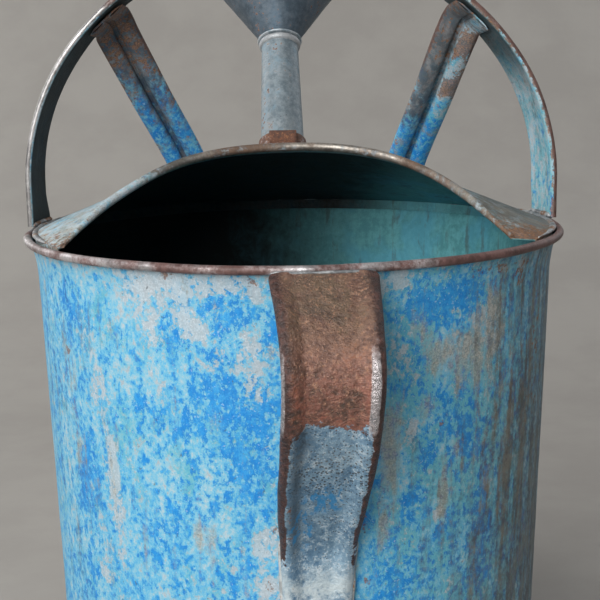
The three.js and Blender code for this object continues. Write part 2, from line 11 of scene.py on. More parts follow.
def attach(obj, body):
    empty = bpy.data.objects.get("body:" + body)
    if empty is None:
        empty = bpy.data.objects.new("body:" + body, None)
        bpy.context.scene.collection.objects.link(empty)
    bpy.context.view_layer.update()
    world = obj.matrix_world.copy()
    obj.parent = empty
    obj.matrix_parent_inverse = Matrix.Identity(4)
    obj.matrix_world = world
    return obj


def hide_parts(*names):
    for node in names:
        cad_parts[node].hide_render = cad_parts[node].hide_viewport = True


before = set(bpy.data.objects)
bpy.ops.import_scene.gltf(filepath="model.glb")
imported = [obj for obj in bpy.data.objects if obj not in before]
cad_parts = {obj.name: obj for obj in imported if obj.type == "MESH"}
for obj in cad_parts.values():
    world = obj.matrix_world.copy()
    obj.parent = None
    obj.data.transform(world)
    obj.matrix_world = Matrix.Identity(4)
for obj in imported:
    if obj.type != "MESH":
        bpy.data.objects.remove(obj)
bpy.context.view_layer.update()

SHIFT_Y = -0.109  # the can's axis in the frame
RAD = math.pi / 180
SHEET = 0.7


# ---- numbers ------------------------------------------------------------------------------------------------
def smooth(a, b, x):
    t = np.clip((np.asarray(x, float) - a) / (b - a), 0, 1)
    return t * t * (3 - 2 * t)


def unit(v):
    v = np.asarray(v, float)
    return v / np.maximum(np.linalg.norm(v, axis=-1, keepdims=True), 1e-12)


_rng = np.random.RandomState(29)
_perm = np.tile(_rng.permutation(256), 3)
_grad = unit(_rng.normal(size=(256, 3)))


def gnoise(p):
    """Gradient noise at points (N, 3), about -0.7 to 0.7."""
    p = np.asarray(p, float).reshape(-1, 3)
    i = np.floor(p).astype(int)
    f = p - i
    i &= 255
    u = f * f * f * (f * (f * 6 - 15) + 10)
    out = np.zeros(len(p))
    for dx in (0, 1):
        for dy in (0, 1):
            for dz in (0, 1):
                h = _perm[_perm[_perm[i[:, 0] + dx] + i[:, 1] + dy] + i[:, 2] + dz]
                w = (
                    (u[:, 0] if dx else 1 - u[:, 0])
                    * (u[:, 1] if dy else 1 - u[:, 1])
                    * (u[:, 2] if dz else 1 - u[:, 2])
                )
                out += w * ((_grad[h]) * (f - (dx, dy, dz))).sum(1)
    return out


def fbm(p, size, octaves=3, gain=0.5):
    """Layered noise whose broadest bumps are `size` millimetres apart."""
    p = np.asarray(p, float)
    shape, q = p.shape[:-1], p.reshape(-1, 3) / size
    out, a = np.zeros(len(q)), 1.0
    for k in range(octaves):
        out += a * gnoise(q + 17.3 * k)
        q = q * 2.03
        a *= gain
    return out.reshape(shape)


def catmull(keys, t):
    """Centripetal Catmull-Rom curve through keys, at t in 0..1 with the keys evenly spread; returns points and tangents."""
    keys = np.asarray(keys, float)
    ext = np.vstack([2 * keys[0] - keys[1], keys, 2 * keys[-1] - keys[-2]])
    n = len(keys)

    def at(tt):
        q = np.clip(tt, 0, 1) * (n - 1)
        i = np.minimum(q.astype(int), n - 2)
        w = (q - i)[:, None]
        p0, p1, p2, p3 = ext[i], ext[i + 1], ext[i + 2], ext[i + 3]
        d0 = np.sqrt(np.linalg.norm(p1 - p0, axis=1))[:, None]
        d1 = np.sqrt(np.linalg.norm(p2 - p1, axis=1))[:, None]
        d2 = np.sqrt(np.linalg.norm(p3 - p2, axis=1))[:, None]
        t1 = ((p1 - p0) / d0 - (p2 - p0) / (d0 + d1) + (p2 - p1) / d1) * d1
        t2 = ((p2 - p1) / d1 - (p3 - p1) / (d1 + d2) + (p3 - p2) / d2) * d1
        c2 = -3 * p1 + 3 * p2 - 2 * t1 - t2
        c3 = 2 * p1 - 2 * p2 + t1 + t2
        return p1 + t1 * w + c2 * w**2 + c3 * w**3

    t = np.asarray(t, float)
    h = 1e-4
    tan = unit(at(np.minimum(t + h, 1)) - at(np.maximum(t - h, 0)))
    return at(t), tan


def spaced(keys, count):
    """count points evenly spaced along the curve through keys."""
    tt = np.linspace(0, 1, 4001)
    p, _ = catmull(keys, tt)
    d = np.concatenate([[0], np.cumsum(np.linalg.norm(np.diff(p, axis=0), axis=1))])
    t = np.interp(np.linspace(0, d[-1], count), d, tt)
    return catmull(keys, t)[0]


# ---- meshes -------------------------------------------------------------------------------------------------
def quads_of(m, n, wrap_m, wrap_n):
    i = np.arange(m if wrap_m else m - 1)
    j = np.arange(n if wrap_n else n - 1)
    a, b = np.meshgrid(i, j, indexing="ij")
    a2, b2 = (a + 1) % m, (b + 1) % n
    return np.stack([a * n + b, a2 * n + b, a2 * n + b2, a * n + b2], -1).reshape(-1, 4)


def make(name, pts, quads, caps=(), attrs=None, node=None, body="can", mat=None, sharp=48, weld=False):
    p = np.asarray(pts, float).reshape(-1, 3)
    caps = [np.asarray(c, int) for c in caps]

    def vol(a, b, c):
        return float(np.einsum("ij,ij->", a, np.cross(b, c)))

    q = p[quads] - p.mean(0)
    v = vol(q[:, 0], q[:, 1], q[:, 2]) + vol(q[:, 0], q[:, 2], q[:, 3])
    if v < 0:
        quads = quads[:, ::-1]
        caps = [c[::-1] for c in caps]
    co = p * 0.001
    co[:, 1] += SHIFT_Y
    me = bpy.data.meshes.new(name)
    loops = np.concatenate([quads.ravel(), *caps]).astype(np.int32)
    sizes = np.array([4] * len(quads) + [len(c) for c in caps], np.int32)
    starts = np.concatenate([[0], np.cumsum(sizes)[:-1]]).astype(np.int32)
    me.vertices.add(len(co))
    me.vertices.foreach_set("co", co.astype(np.float32).ravel())
    me.loops.add(len(loops))
    me.loops.foreach_set("vertex_index", loops)
    me.polygons.add(len(sizes))
    me.polygons.foreach_set("loop_start", starts)
    me.update(calc_edges=True)
    for key, val in (attrs or {}).items():
        a = me.attributes.new(key, "FLOAT", "POINT")
        a.data.foreach_set("value", np.broadcast_to(val, (len(co),)).astype(np.float32) if np.ndim(val) == 0 else np.asarray(val, np.float32).ravel())
    if weld:
        bm = bmesh.new()
        bm.from_mesh(me)
        bmesh.ops.remove_doubles(bm, verts=bm.verts, dist=1e-7)
        bm.to_mesh(me)
        bm.free()
    me.validate()
    o = bpy.data.objects.new(name, me)
    bpy.context.scene.collection.objects.link(o)
    if body:
        shade(o, sharp)
        if mat:
            me.materials.append(mat)
        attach(o, body)
        for n in [node] if isinstance(node, str) else (node or []):
            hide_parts(n)
    return o


def shade(o, sharp):
    me = o.data
    me.polygons.foreach_set("use_smooth", np.ones(len(me.polygons), bool))
    me.set_sharp_from_angle(angle=sharp * RAD)
    me.update()


def cut(o, tool):
    """Takes tool away from o for good."""
    mod = o.modifiers.new("cut", "BOOLEAN")
    mod.operation, mod.object, mod.solver = "DIFFERENCE", tool, "EXACT"
    dg = bpy.context.evaluated_depsgraph_get()
    me = bpy.data.meshes.new_from_object(o.evaluated_get(dg))
    o.modifiers.clear()
    old = o.data
    o.data = me
    bpy.data.meshes.remove(old)
    me.name = o.name
    bpy.data.objects.remove(tool, do_unlink=True)


def tube_rings(rings):
    rings = np.asarray(rings, float)
    m, n = rings.shape[:2]
    return rings, quads_of(m, n, False, True), [np.arange(n), np.arange((m - 1) * n, m * n)[::-1]]


def resample(profile, step):
    """A closed outline with its straight runs cut into pieces no longer than step."""
    out = []
    pr = [np.array(q, float) for q in profile]
    for a, b in zip(pr, pr[1:] + pr[:1]):
        k = max(1, int(math.ceil(np.linalg.norm(b - a) / step)))
        out += [a + (b - a) * i / k for i in range(k)]
    return np.array(out)


def soften(profile, r, steps=3):
    """Rounds the corners of a closed outline a little."""
    pr = [np.array(q, float) for q in profile]
    out = []
    for i, b in enumerate(pr):
        a, c = pr[i - 1], pr[(i + 1) % len(pr)]
        if b[0] < 1e-6:
            out.append(b)
            continue
        la, lc = np.linalg.norm(a - b), np.linalg.norm(c - b)
        k = min(r, la * 0.45, lc * 0.45)
        p, q = b + (a - b) / la * k, b + (c - b) / lc * k
        for j in range(steps + 1):
            t = j / steps
            out.append((1 - t) ** 2 * p + 2 * t * (1 - t) * b + t * t * q)
    return out


# ---- shared shapes --------------------------------------------------------------------------------------------
BODY_H, WALL_R, TAPER = 270.0, 108.3, math.tan(2.1 * RAD)
SEAM = 7.7 * RAD


def wall_r(z):
    z = np.asarray(z, float)
    return WALL_R - (BODY_H - z) * TAPER + 2.9 * np.maximum(0, (z - 252) / 18) ** 2


def dent(ang, z):
    """How far the old wall stands off its true shape."""
    p = np.stack([110 * np.sin(ang), -110 * np.cos(ang), z], -1)
    keep = smooth(2, 30, z) * (1 - smooth(240, 258, z))
    return keep * (0.42 * fbm(p * (1, 1, 0.7), 62, 2) + 0.22 * fbm(p + 90, 21, 2))


SPOUT0 = np.array([0, 96.0, 58.0])
LEAN = 34 * RAD
AX = np.array([0, math.sin(LEAN), math.cos(LEAN)])
AY = np.array([0, -math.cos(LEAN), math.sin(LEAN)])  # square to the spout, towards the can's axis and up
AXX = np.array([1.0, 0, 0])
T = 348.0


def spout_r(s):
    return 19.5 + (11.2 - 19.5) * np.asarray(s, float) / T


def on_spout(r, a, s):
    r, a, s = np.broadcast_arrays(r, a, s)
    return SPOUT0 + s[..., None] * AX + (r * np.cos(a))[..., None] * AXX + (r * np.sin(a))[..., None] * AY


def turned(profile, cols, place=None, turn=0.0, wob=None):
    """Turns a closed [radius, height] outline; place maps (r, angle, h) to a point."""
    pr = np.asarray(profile, float)
    a = np.linspace(0, 2 * math.pi, cols, endpoint=False) + turn
    r, ang = np.meshgrid(pr[:, 0], a)
    h = np.meshgrid(pr[:, 1], a)[0]
    if place is None:
        pts = np.stack([r * np.sin(ang), -r * np.cos(ang), h], -1)
    else:
        pts = place(r, ang, h)
    if wob is not None:
        pts = wob(pts, r, ang, h)
    return pts, quads_of(cols, len(pr), True, True)


def strap_section(half, cu, cv, steps, end_deg, web):
    """Outline of a strap with both edges curled up, as [u, v]."""

    def arc(ru, rv, a0, a1, k):
        a = np.linspace(a0, a1, k + 1) * RAD
        return np.stack([half - cu + ru * np.cos(a), cv + rv * np.sin(a)], -1)

    right = np.vstack([arc(cu, cv, -90, end_deg, steps), arc(cu - SHEET, cv - SHEET, end_deg, -90, steps)])
    left = (right * (-1, 1))[::-1]
    x = np.linspace(half - cu, -(half - cu), web + 2)[1:-1]
    top = np.stack([x, np.full(web, SHEET)], -1)
    bottom = np.stack([x[::-1], np.zeros(web)], -1)
    return np.vstack([right, top, left, bottom])


def strap_at(sec, half, cu, new_half, curl):
    edge, flat = half - 2 * cu, max(new_half - 2 * cu, 0.3)
    u, v = sec[:, 0], sec[:, 1]
    w, s = np.abs(u), np.sign(u)
    nu = np.where(w > edge, s * (flat + (w - edge) * ((new_half - flat) / (2 * cu))), u * flat / edge)
    nv = np.where(v <= SHEET, v, SHEET + (v - SHEET) * curl)
    return np.stack([nu, nv], -1)


# where the paint has gone which way: soft patches on the wall, as kind, angle round from the back, height,
# half width and half height in millimetres, strength
PATCHES = [
    ("gry", -26, 262, 11, 5, 1.0), ("gry", -31, 248, 5, 12, 1.0), ("gry", -24, 252, 5, 13, 0.8), ("gry", -20, 247, 7, 7, 0.9),
    ("gry", -17, 234, 7, 6, 0.9), ("gry", -10, 242, 5, 6, 0.9), ("gry", -9, 228, 6, 12, 1.0), ("gry", -46, 218, 7, 9, 0.6),
    ("gry", -44, 193, 4, 18, 0.9), ("gry", -42, 166, 4, 22, 0.9), ("gry", -8, 162, 7, 9, 1.0), ("gry", -7, 146, 6, 6, 0.9),
    ("gry", 34, 240, 13, 11, 0.9), ("gry", 43, 236, 6, 16, 0.8), ("gry", 19, 238, 7, 15, 0.8), ("gry", -12, 262, 14, 5, 0.7),
    ("gry", 22, 204, 4, 8, 0.7), ("gry", -50, 240, 6, 10, 0.5), ("gry", 15, 262, 10, 5, 0.5),
    ("cob", -15, 253, 13, 8, 1.0), ("cob", -27, 246, 5, 9, 0.8), ("cob", -17, 233, 9, 17, 0.8), ("cob", -6, 240, 6, 9, 0.9),
    ("cob", -8, 218, 10, 9, 0.8), ("cob", -33, 214, 9, 7, 0.7), ("cob", -53, 247, 12, 12, 0.8), ("cob", -51, 190, 9, 17, 0.7),
    ("cob", -10, 198, 14, 12, 0.6), ("cob", -27, 178, 6, 8, 0.8), ("cob", -13, 188, 8, 13, 0.8), ("cob", -53, 172, 6, 26, 0.8),
    ("cob", -14, 150, 7, 17, 0.9), ("cob", -30, 162, 8, 7, 0.7), ("cob", -52, 137, 8, 10, 0.7), ("cob", 31, 255, 11, 8, 1.0),
    ("cob", 27, 249, 8, 7, 0.9), ("cob", 37, 252, 8, 9, 0.9), ("cob", 37, 197, 7, 7, 0.9), ("cob", 23, 175, 5, 6, 0.7),
    ("cob", 17, 148, 11, 14, 0.6), ("cob", 42, 147, 8, 12, 0.8), ("cob", 31, 164, 4, 6, 0.7), ("cob", 33, 218, 6, 6, 0.5),
    ("sky", -28, 232, 14, 14, 0.8), ("sky", -25, 196, 17, 13, 0.8), ("sky", -20, 212, 14, 14, 0.7), ("sky", -30, 140, 12, 14, 0.7),
    ("grn", -23, 192, 9, 8, 0.9), ("grn", 24, 248, 6, 14, 0.9), ("grn", 24, 224, 6, 22, 0.9), ("grn", 32, 180, 14, 20, 0.6),
    ("grn", 40, 215, 12, 25, 0.5), ("grn", -40, 205, 9, 14, 0.4),
    ("tan", -21, 168, 5, 17, 0.9), ("tan", 17.5, 200, 4.2, 20, 1.5), ("tan", 44, 245, 7, 20, 0.8), ("tan", -43, 180, 5, 25, 0.6),
    ("tan", 16, 170, 4, 14, 0.5), ("tan", 52, 200, 14, 50, 0.7), ("tan", -34, 158, 4, 14, 0.4),
    ("rus", 40, 263, 13, 4.5, 0.9), ("rus", 52, 258, 10, 7, 0.8), ("rus", 29, 207, 1.8, 2.2, 1.3), ("rus", -7, 149, 3, 3.5, 1.0),
    ("rus", 12.5, 149, 2.4, 3.0, 1.2), ("rus", -57, 230, 2, 2.4, 1.4), ("rus", -26, 266, 3, 3, 1.2), ("rus", -9, 264, 3, 3, 1.2),
    ("tan", 29, 233, 9, 10, 1.3), ("gry", 28.5, 172, 1.8, 4, 1.5), ("tan", 38, 232, 8, 15, 1.3), ("gry", 23, 206, 1.8, 3.2, 1.5), ("tan", 30, 178, 4, 11, 1.3),
    ("cob", -16, 214, 22, 14, 0.7), ("cob", 23, 256, 8, 8, 0.9), ("cob", 26, 200, 6, 9, 0.8), ("cob", 21, 228, 4, 14, 0.7), ("cob", 34, 208, 8, 6, 0.8), ("cob", 40, 172, 7, 12, 0.7), ("tan", 33, 195, 4, 9, 0.9), ("tan", 23, 243, 4, 8, 0.9), ("tan", 26, 214, 4, 7, 1.0), ("tan", 41, 190, 5, 24, 0.8), ("gry", -36, 258, 10, 6, 0.7), ("tan", -56, 205, 5, 40, 0.6), ("gry", -30, 222, 6, 8, 0.5), ("gry", -48, 150, 6, 16, 0.6),
    ("rus", 16, 263, 2.2, 5, 0.8), ("rus", 62, 215, 10, 40, 0.6), ("rus", 12, 172, 3, 10, 0.7), ("rus", -6, 172, 2.5, 8, 0.6),
]


def patches(kind, ang, z):
    out = np.zeros(np.shape(z))
    for k, a, h, w, t, s in PATCHES:
        if k == kind:
            d = (np.asarray(ang) - a * RAD + math.pi) % (2 * math.pi) - math.pi
            out = out + s * np.exp(-(((d * 107) / w) ** 2) - ((z - h) / t) ** 2)
    return np.clip(out, 0, 1.6)


# ---- materials --------------------------------------------------------------------------------------------------
class Shader:
    def __init__(self, name):
        self.mat = bpy.data.materials.new(name)
        self.mat.use_nodes = True
        self.t = self.mat.node_tree
        self.t.nodes.clear()
        out = self.t.nodes.new("ShaderNodeOutputMaterial")
        self.b = self.t.nodes.new("ShaderNodeBsdfPrincipled")
        self.t.links.new(self.b.outputs[0], out.inputs[0])
        self.co = self.t.nodes.new("ShaderNodeTexCoord").outputs["Object"]

    def put(self, sock, v):
        if isinstance(v, bpy.types.NodeSocket):
            self.t.links.new(v, sock)
        else:
            sock.default_value = (*v, 1.0) if sock.type == "RGBA" and len(v) == 3 else v

    def node(self, kind, ins, out=0, **props):
        n = self.t.nodes.new(kind)
        for k, v in props.items():
            setattr(n, k, v)
        for k, v in ins.items():
            self.put(n.inputs[k], v)
        return n.outputs[out]

    def scaled(self, x, y, z, move=(0, 0, 0)):
        return self.node("ShaderNodeMapping", {"Vector": self.co, "Scale": (x, y, z), "Location": move})

    def noise(self, scale, detail=5, rough=0.6, vec=None, dist=0.0):
        return self.node("ShaderNodeTexNoise", {"Vector": vec or self.co, "Scale": scale, "Detail": detail, "Roughness": rough, "Distortion": dist})

    def cells(self, scale, vec=None, feature="F1", rand=1.0):
        return self.node("ShaderNodeTexVoronoi", {"Vector": vec or self.co, "Scale": scale, "Randomness": rand}, feature=feature)

    def attr(self, name):
        return self.node("ShaderNodeAttribute", {}, "Fac", attribute_name=name)

    def math(self, op, a, b=0.0, c=0.0, clamp=False):
        return self.node("ShaderNodeMath", {0: a, 1: b, 2: c}, operation=op, use_clamp=clamp)

    def add(self, *terms):
        """Weighted sum of (weight, socket) pairs."""
        acc = None
        for w, s in terms:
            acc = self.math("MULTIPLY", s, w) if acc is None else self.math("MULTIPLY_ADD", s, w, acc)
        return acc

    def step(self, v, lo, hi):
        return self.node("ShaderNodeMapRange", {"Value": v, "From Min": lo, "From Max": hi}, interpolation_type="SMOOTHSTEP")

    def mix(self, f, a, b):
        return self.node("ShaderNodeMix", {0: f, 6: a, 7: b}, 2, data_type="RGBA")

    def fmix(self, f, a, b):
        return self.node("ShaderNodeMix", {0: f, 2: a, 3: b}, 0, data_type="FLOAT")

    def ramp(self, f, stops):
        n = self.t.nodes.new("ShaderNodeValToRGB")
        e = n.color_ramp.elements
        while len(e) < len(stops):
            e.new(0.5)
        for k, (pos, col) in zip(e, stops):
            k.position, k.color = pos, (*col, 1.0)
        self.put(n.inputs[0], f)
        return n.outputs[0]

    def bump(self, height, dist, strength=1.0, normal=None):
        ins = {"Height": height, "Distance": dist, "Strength": strength}
        if normal is not None:
            ins["Normal"] = normal
        return self.node("ShaderNodeBump", ins)

    def done(self, color, rough, metal=0.0, normal=None, spec=None):
        self.put(self.b.inputs["Base Color"], color)
        self.put(self.b.inputs["Roughness"], rough)
        self.put(self.b.inputs["Metallic"], metal)
        if normal is not None:
            self.put(self.b.inputs["Normal"], normal)
        if spec is not None:
            self.put(self.b.inputs["Specular IOR Level"], spec)
        return self.mat


COBALT, COBALT_DEEP = (0.010, 0.275, 0.68), (0.005, 0.195, 0.57)
GREEN = (0.115, 0.39, 0.43)
RUST, RUST_DARK, RUST_LIGHT = (0.16, 0.066, 0.038), (0.045, 0.022, 0.016), (0.38, 0.17, 0.07)
SILVER = (0.56, 0.57, 0.58)
BLUES = [
    (0.00, (0.45, 0.51, 0.54)), (0.18, (0.36, 0.50, 0.575)), (0.36, (0.205, 0.470, 0.615)), (0.52, (0.115, 0.415, 0.635)),
    (0.67, (0.068, 0.340, 0.64)), (0.83, (0.030, 0.255, 0.60)), (1.00, (0.015, 0.175, 0.50)),
]


def flaking_paint(name, blue=0.0, flake=0.0, rust=0.0, bright=0.0, inside=True, hi=SILVER, lo=(0.15, 0.085, 0.072),
                  deep=((0.095, 0.330, 0.370), (0.165, 0.510, 0.560)), dirt_and_shade=((0.086, 0.068, 0.046), (0.172, 0.158, 0.127))):
    """Old blue paint, mottled and flaking off a pale undercoat. Attributes steer it: soft patches by kind, `bead` for
    bare curled edges, `dul` where the weather has greyed it and where shade is painted in, `inside` for the inner face,
    `dark` for painted shade on it."""
    s = Shader(name)
    mid, mid2 = s.noise(78, 9, 0.71, s.scaled(1, 1, 0.6), 0.35), s.noise(120, 8, 0.68, s.scaled(1, 1, 0.85, (0.31, 0.12, 0.2)), 0.3)
    small = s.noise(215, 7, 0.70, s.scaled(1, 1, 0.8, (0.7, 0.4, 0.1)), 0.2)
    fine, grit = s.noise(500, 5, 0.68, s.scaled(1, 1, 0.85)), s.noise(1400, 3, 0.6)
    run, big = s.noise(240, 5, 0.62, s.scaled(1, 1, 0.085)), s.noise(24, 3, 0.5)
    cob, gry, sky, grn, tan, rus, bead, dul = (s.attr(k) for k in ("cob", "gry", "sky", "grn", "tan", "rus", "bead", "dul"))
    # how much blue is left, from bare undercoat to the thickest coat
    v = s.add((0.85, mid), (1.25, small), (1.45, fine), (0.55, run), (0.45, grit), (0.30, big), (0.18, cob), (-0.15, gry), (-0.05, sky))
    v = s.math("ADD", v, 0.50 - 4.85 / 2 + blue)
    c = s.ramp(v, BLUES)
    c = s.mix(s.math("MULTIPLY", s.step(s.add((0.5, mid2), (0.5, mid), (0.11, grn)), 0.50, 0.64), 0.55), c, GREEN)
    # grainy thick azure
    az = s.step(s.add((0.46, small), (0.38, fine), (0.08, mid), (0.08, run), (0.066, cob), (-0.05, gry)), 0.534, 0.558)
    tone = s.step(s.add((0.40, s.noise(330, 5, 0.66)), (0.30, grit), (0.30, run)), 0.44, 0.57)
    az_c = s.mix(tone, COBALT_DEEP, s.mix(s.step(mid2, 0.44, 0.60), COBALT, (0.045, 0.37, 0.72)))
    c = s.mix(s.math("MULTIPLY", az, s.fmix(tone, 0.88, 0.62)), c, az_c)
    # undercoat showing where it has flaked
    fl = s.step(s.add((0.34, mid2), (-0.36, small), (-0.30, fine), (0.105, gry), (-0.02, cob)), -0.103 - flake, -0.079 - flake)
    under = s.mix(s.step(s.add((0.5, fine), (0.5, grit)), 0.42, 0.58), (0.33, 0.395, 0.45), (0.47, 0.525, 0.57))
    under = s.mix(s.step(s.add((0.5, run), (0.5, mid)), 0.50, 0.60), under, (0.38, 0.49, 0.57))
    c = s.mix(s.math("MULTIPLY", fl, 0.82), c, under)
    # chips down to chalk
    chip = s.step(s.add((0.55, s.noise(640, 4, 0.62)), (0.45, grit), (0.05, gry)), 0.590, 0.635)
    c = s.mix(s.math("MULTIPLY", chip, 0.45), c, (0.56, 0.63, 0.68))
    # weather stains and dirt; the `dul` layer below is partly weathering and partly painted shade on shaded sides and
    # in creases
    tanm = s.math("MULTIPLY", s.step(s.add((0.45, run), (0.35, mid2), (0.2, fine), (0.15, tan)), 0.55, 0.68), 0.68)
    c = s.mix(tanm, c, s.mix(s.step(grit, 0.4, 0.6), (0.25, 0.23, 0.18), (0.43, 0.40, 0.33)))
    dm = s.math("MULTIPLY", s.step(s.add((0.27, mid), (0.43, run), (0.30, fine), (0.30, dul)), 0.55, 0.76), 0.86)
    c = s.mix(dm, c, s.mix(s.step(mid2, 0.42, 0.6), *dirt_and_shade))
    speck = s.step(s.noise(560, 3, 0.55), 0.675, 0.73)
    c = s.mix(s.math("MULTIPLY", speck, 0.6), c, (0.08, 0.09, 0.095))
    # rust breaking through
    rusm = s.step(s.add((0.4, mid2), (0.6, fine), (0.20, rus)), 0.655 - rust, 0.705 - rust)
    rusc = s.mix(s.step(grit, 0.34, 0.60), (0.10, 0.052, 0.034), s.mix(s.step(fine, 0.42, 0.62), (0.20, 0.085, 0.045), (0.40, 0.19, 0.085)))
    c = s.mix(s.math("MULTIPLY", rusm, 0.74), c, rusc)
    # bare curled edges, part bright and part rusted
    sil = s.step(s.add((0.74, s.noise(34, 5, 0.58)), (0.18, fine), (0.08, grit), (-0.13, rus)), 0.425 - bright, 0.565 - bright)
    edge = s.mix(sil, s.mix(s.step(s.add((0.6, mid2), (0.4, fine)), 0.38, 0.60), tuple(0.45 * x for x in lo), lo), s.mix(s.step(mid2, 0.44, 0.58), tuple(0.6 * x for x in hi), hi))
    bm = s.step(s.add((1.0, bead), (0.55, fine), (0.45, mid)), 0.92, 1.12)
    c = s.mix(bm, c, edge)
    metal = s.math("MULTIPLY", s.math("MULTIPLY", bm, sil), 0.8)
    rough = s.fmix(az, s.fmix(fl, 0.50, 0.66), 0.42)
    rough = s.fmix(rusm, rough, 0.85)
    rough = s.fmix(bm, rough, s.fmix(sil, 0.42, 0.29))
    spec = 0.32
    if inside:
        ins, dark = s.attr("inside"), s.attr("dark")
        inner = s.mix(s.step(s.add((0.5, mid2), (0.3, fine), (0.2, run)), 0.42, 0.58), *deep)
        inner = s.mix(s.math("MULTIPLY", s.step(s.add((0.7, big), (0.3, mid)), 0.50, 0.60), 0.55), inner, tuple(a * b for a, b in zip(deep[1], (0.70, 0.92, 1.18))))
        inner = s.mix(s.math("MULTIPLY", s.step(s.add((0.5, mid), (0.5, run)), 0.53, 0.63), 0.6), inner, (0.09, 0.10, 0.085))
        # painted shade: where `dark` is high the inner face goes near black, standing in for the shade inside
        shade_in = s.step(s.add((1.0, dark), (0.5, mid2)), 0.30, 1.15)
        inner = s.mix(shade_in, inner, (0.010, 0.013, 0.0135))
        c = s.mix(ins, c, inner)
        spec = s.fmix(s.math("MULTIPLY", ins, shade_in), 0.32, 0.06)
        rough = s.fmix(ins, rough, 0.6)
    h = s.add((0.25, az), (-0.35, fl), (-0.25, chip), (-0.4, rusm), (0.9, grit), (0.9, fine), (0.4, mid))
    n = s.bump(h, s.fmix(bm, 0.00027, 0.00012), 0.75)
    return s.done(c, s.math("MULTIPLY_ADD", grit, 0.12, rough), metal, n, spec)


def rusty_strap(name):
    """The back handle: brown rust above, bare weathered zinc below, traces of blue in the pits."""
    s = Shader(name)
    fine, grit, mid = s.noise(380, 6, 0.7), s.noise(1400, 4, 0.65), s.noise(72, 8, 0.68)
    wrinkle, blot = s.noise(620, 4, 0.55, s.scaled(1, 1, 1.6), 0.8), s.noise(46, 6, 0.62)
    lowm, cobm, palem, bead, orange = s.attr("low"), s.attr("cob"), s.attr("pale"), s.attr("bead"), s.attr("orange")
    crest_rust_and_shade, pit = s.attr("crest_rust_and_shade"), s.attr("pit")
    # brown above
    brown = s.mix(s.step(s.add((0.45, mid), (0.55, fine)), 0.38, 0.62), (0.072, 0.038, 0.028), (0.265, 0.130, 0.096))
    brown = s.mix(s.math("MULTIPLY", s.step(s.add((0.7, blot), (0.3, fine)), 0.47, 0.57), 0.75), brown, (0.052, 0.040, 0.030))
    brown = s.mix(s.math("MULTIPLY", s.step(s.add((0.55, grit), (0.45, wrinkle)), 0.53, 0.64), 0.75), brown, (0.42, 0.24, 0.165))
    brown = s.mix(s.math("MULTIPLY", s.step(s.add((0.6, fine), (0.4, mid), (0.12, orange)), 0.56, 0.66), 0.8), brown, (0.33, 0.115, 0.042))
    red, olive = s.attr("red"), s.attr("olive")
    brown = s.mix(s.math("MULTIPLY", red, s.step(s.add((0.5, fine), (0.5, mid)), 0.40, 0.60)), brown, (0.275, 0.098, 0.070))
    brown = s.mix(s.math("MULTIPLY", olive, s.step(s.add((0.4, fine), (0.6, mid)), 0.42, 0.60)), brown, (0.135, 0.092, 0.058))
    glint = s.step(s.add((0.50, s.noise(900, 3, 0.6)), (0.30, fine), (0.20, grit)), 0.525, 0.60)
    brown = s.mix(s.math("MULTIPLY", glint, 0.62), brown, (0.40, 0.225, 0.145))
    # bead crests: dark rust, deepened as painted shade on the beads' outer flanks
    dark = s.mix(s.step(fine, 0.42, 0.62), (0.026, 0.012, 0.011), (0.085, 0.036, 0.029))
    brown = s.mix(s.math("MULTIPLY", crest_rust_and_shade, 0.95), brown, dark)
    # zinc below
    zinc = s.mix(s.step(s.add((0.5, mid), (0.5, fine)), 0.38, 0.62), (0.085, 0.180, 0.285), (0.255, 0.395, 0.510))
    zinc = s.mix(s.math("MULTIPLY", s.step(s.add((0.5, grit), (0.5, fine)), 0.515, 0.585), 0.8), zinc, (0.52, 0.60, 0.66))
    zinc = s.mix(s.math("MULTIPLY", s.step(s.add((1.0, s.cells(850)), (-0.50, fine), (-0.14, pit)), 0.02, -0.06), 0.88), zinc, (0.030, 0.035, 0.042))
    zinc = s.mix(s.math("MULTIPLY", s.attr("shaded"), s.step(s.add((0.5, mid), (0.5, fine)), 0.36, 0.56)), zinc, (0.050, 0.085, 0.125))
    stroke = s.noise(360, 5, 0.62, s.scaled(1, 1, 0.42))
    blue = s.math("MULTIPLY", s.step(s.add((0.7, stroke), (0.3, fine), (0.06, cobm)), 0.535, 0.570), s.step(cobm, 0.08, 0.45))
    zinc = s.mix(s.math("MULTIPLY", blue, 0.85), zinc, (0.020, 0.24, 0.52))
    zinc = s.mix(s.math("MULTIPLY", palem, s.step(s.add((0.5, mid), (0.5, fine)), 0.38, 0.58)), zinc, (0.52, 0.60, 0.63))
    zinc = s.mix(s.math("MULTIPLY", s.step(s.add((0.4, mid), (0.6, fine), (0.14, orange)), 0.635, 0.685), 0.9), zinc, (0.23, 0.085, 0.040))
    f = s.step(s.add((1.0, lowm), (0.95, mid), (0.85, fine)), 1.145, 1.20)
    c = s.mix(f, brown, zinc)
    # edges polished by hands, with a painted highlight: a pale metal stripe along the right bead's inner flank and the
    # left bead's outer edge
    polish_and_highlight = s.math("MULTIPLY", s.step(s.add((1.0, bead), (1.0, fine), (0.5, mid)), 1.30, 1.72), 0.95)
    c = s.mix(polish_and_highlight, c, (0.50, 0.47, 0.48))
    metal = s.fmix(f, s.math("MULTIPLY", polish_and_highlight, 0.9), 0.22)
    rough = s.fmix(f, s.fmix(s.step(fine, 0.42, 0.6), 0.30, 0.48), 0.47)
    rough = s.fmix(s.math("MULTIPLY", glint, s.math("SUBTRACT", 1.0, f)), rough, 0.22)
    rough = s.fmix(polish_and_highlight, rough, 0.25)
    fold = s.noise(270, 4, 0.6, s.scaled(1, 1, 1.3, (0.2, 0.5, 0.1)), 0.6)
    n = s.bump(s.add((1.0, fold), (0.5, wrinkle)), s.fmix(f, 0.00120, 0.00035), 1.0)
    n = s.bump(s.add((1.0, fine), (0.7, grit), (0.5, mid), (-0.5, f)), 0.00040, 1.0, n)
    return s.done(c, rough, metal, n, 0.5)


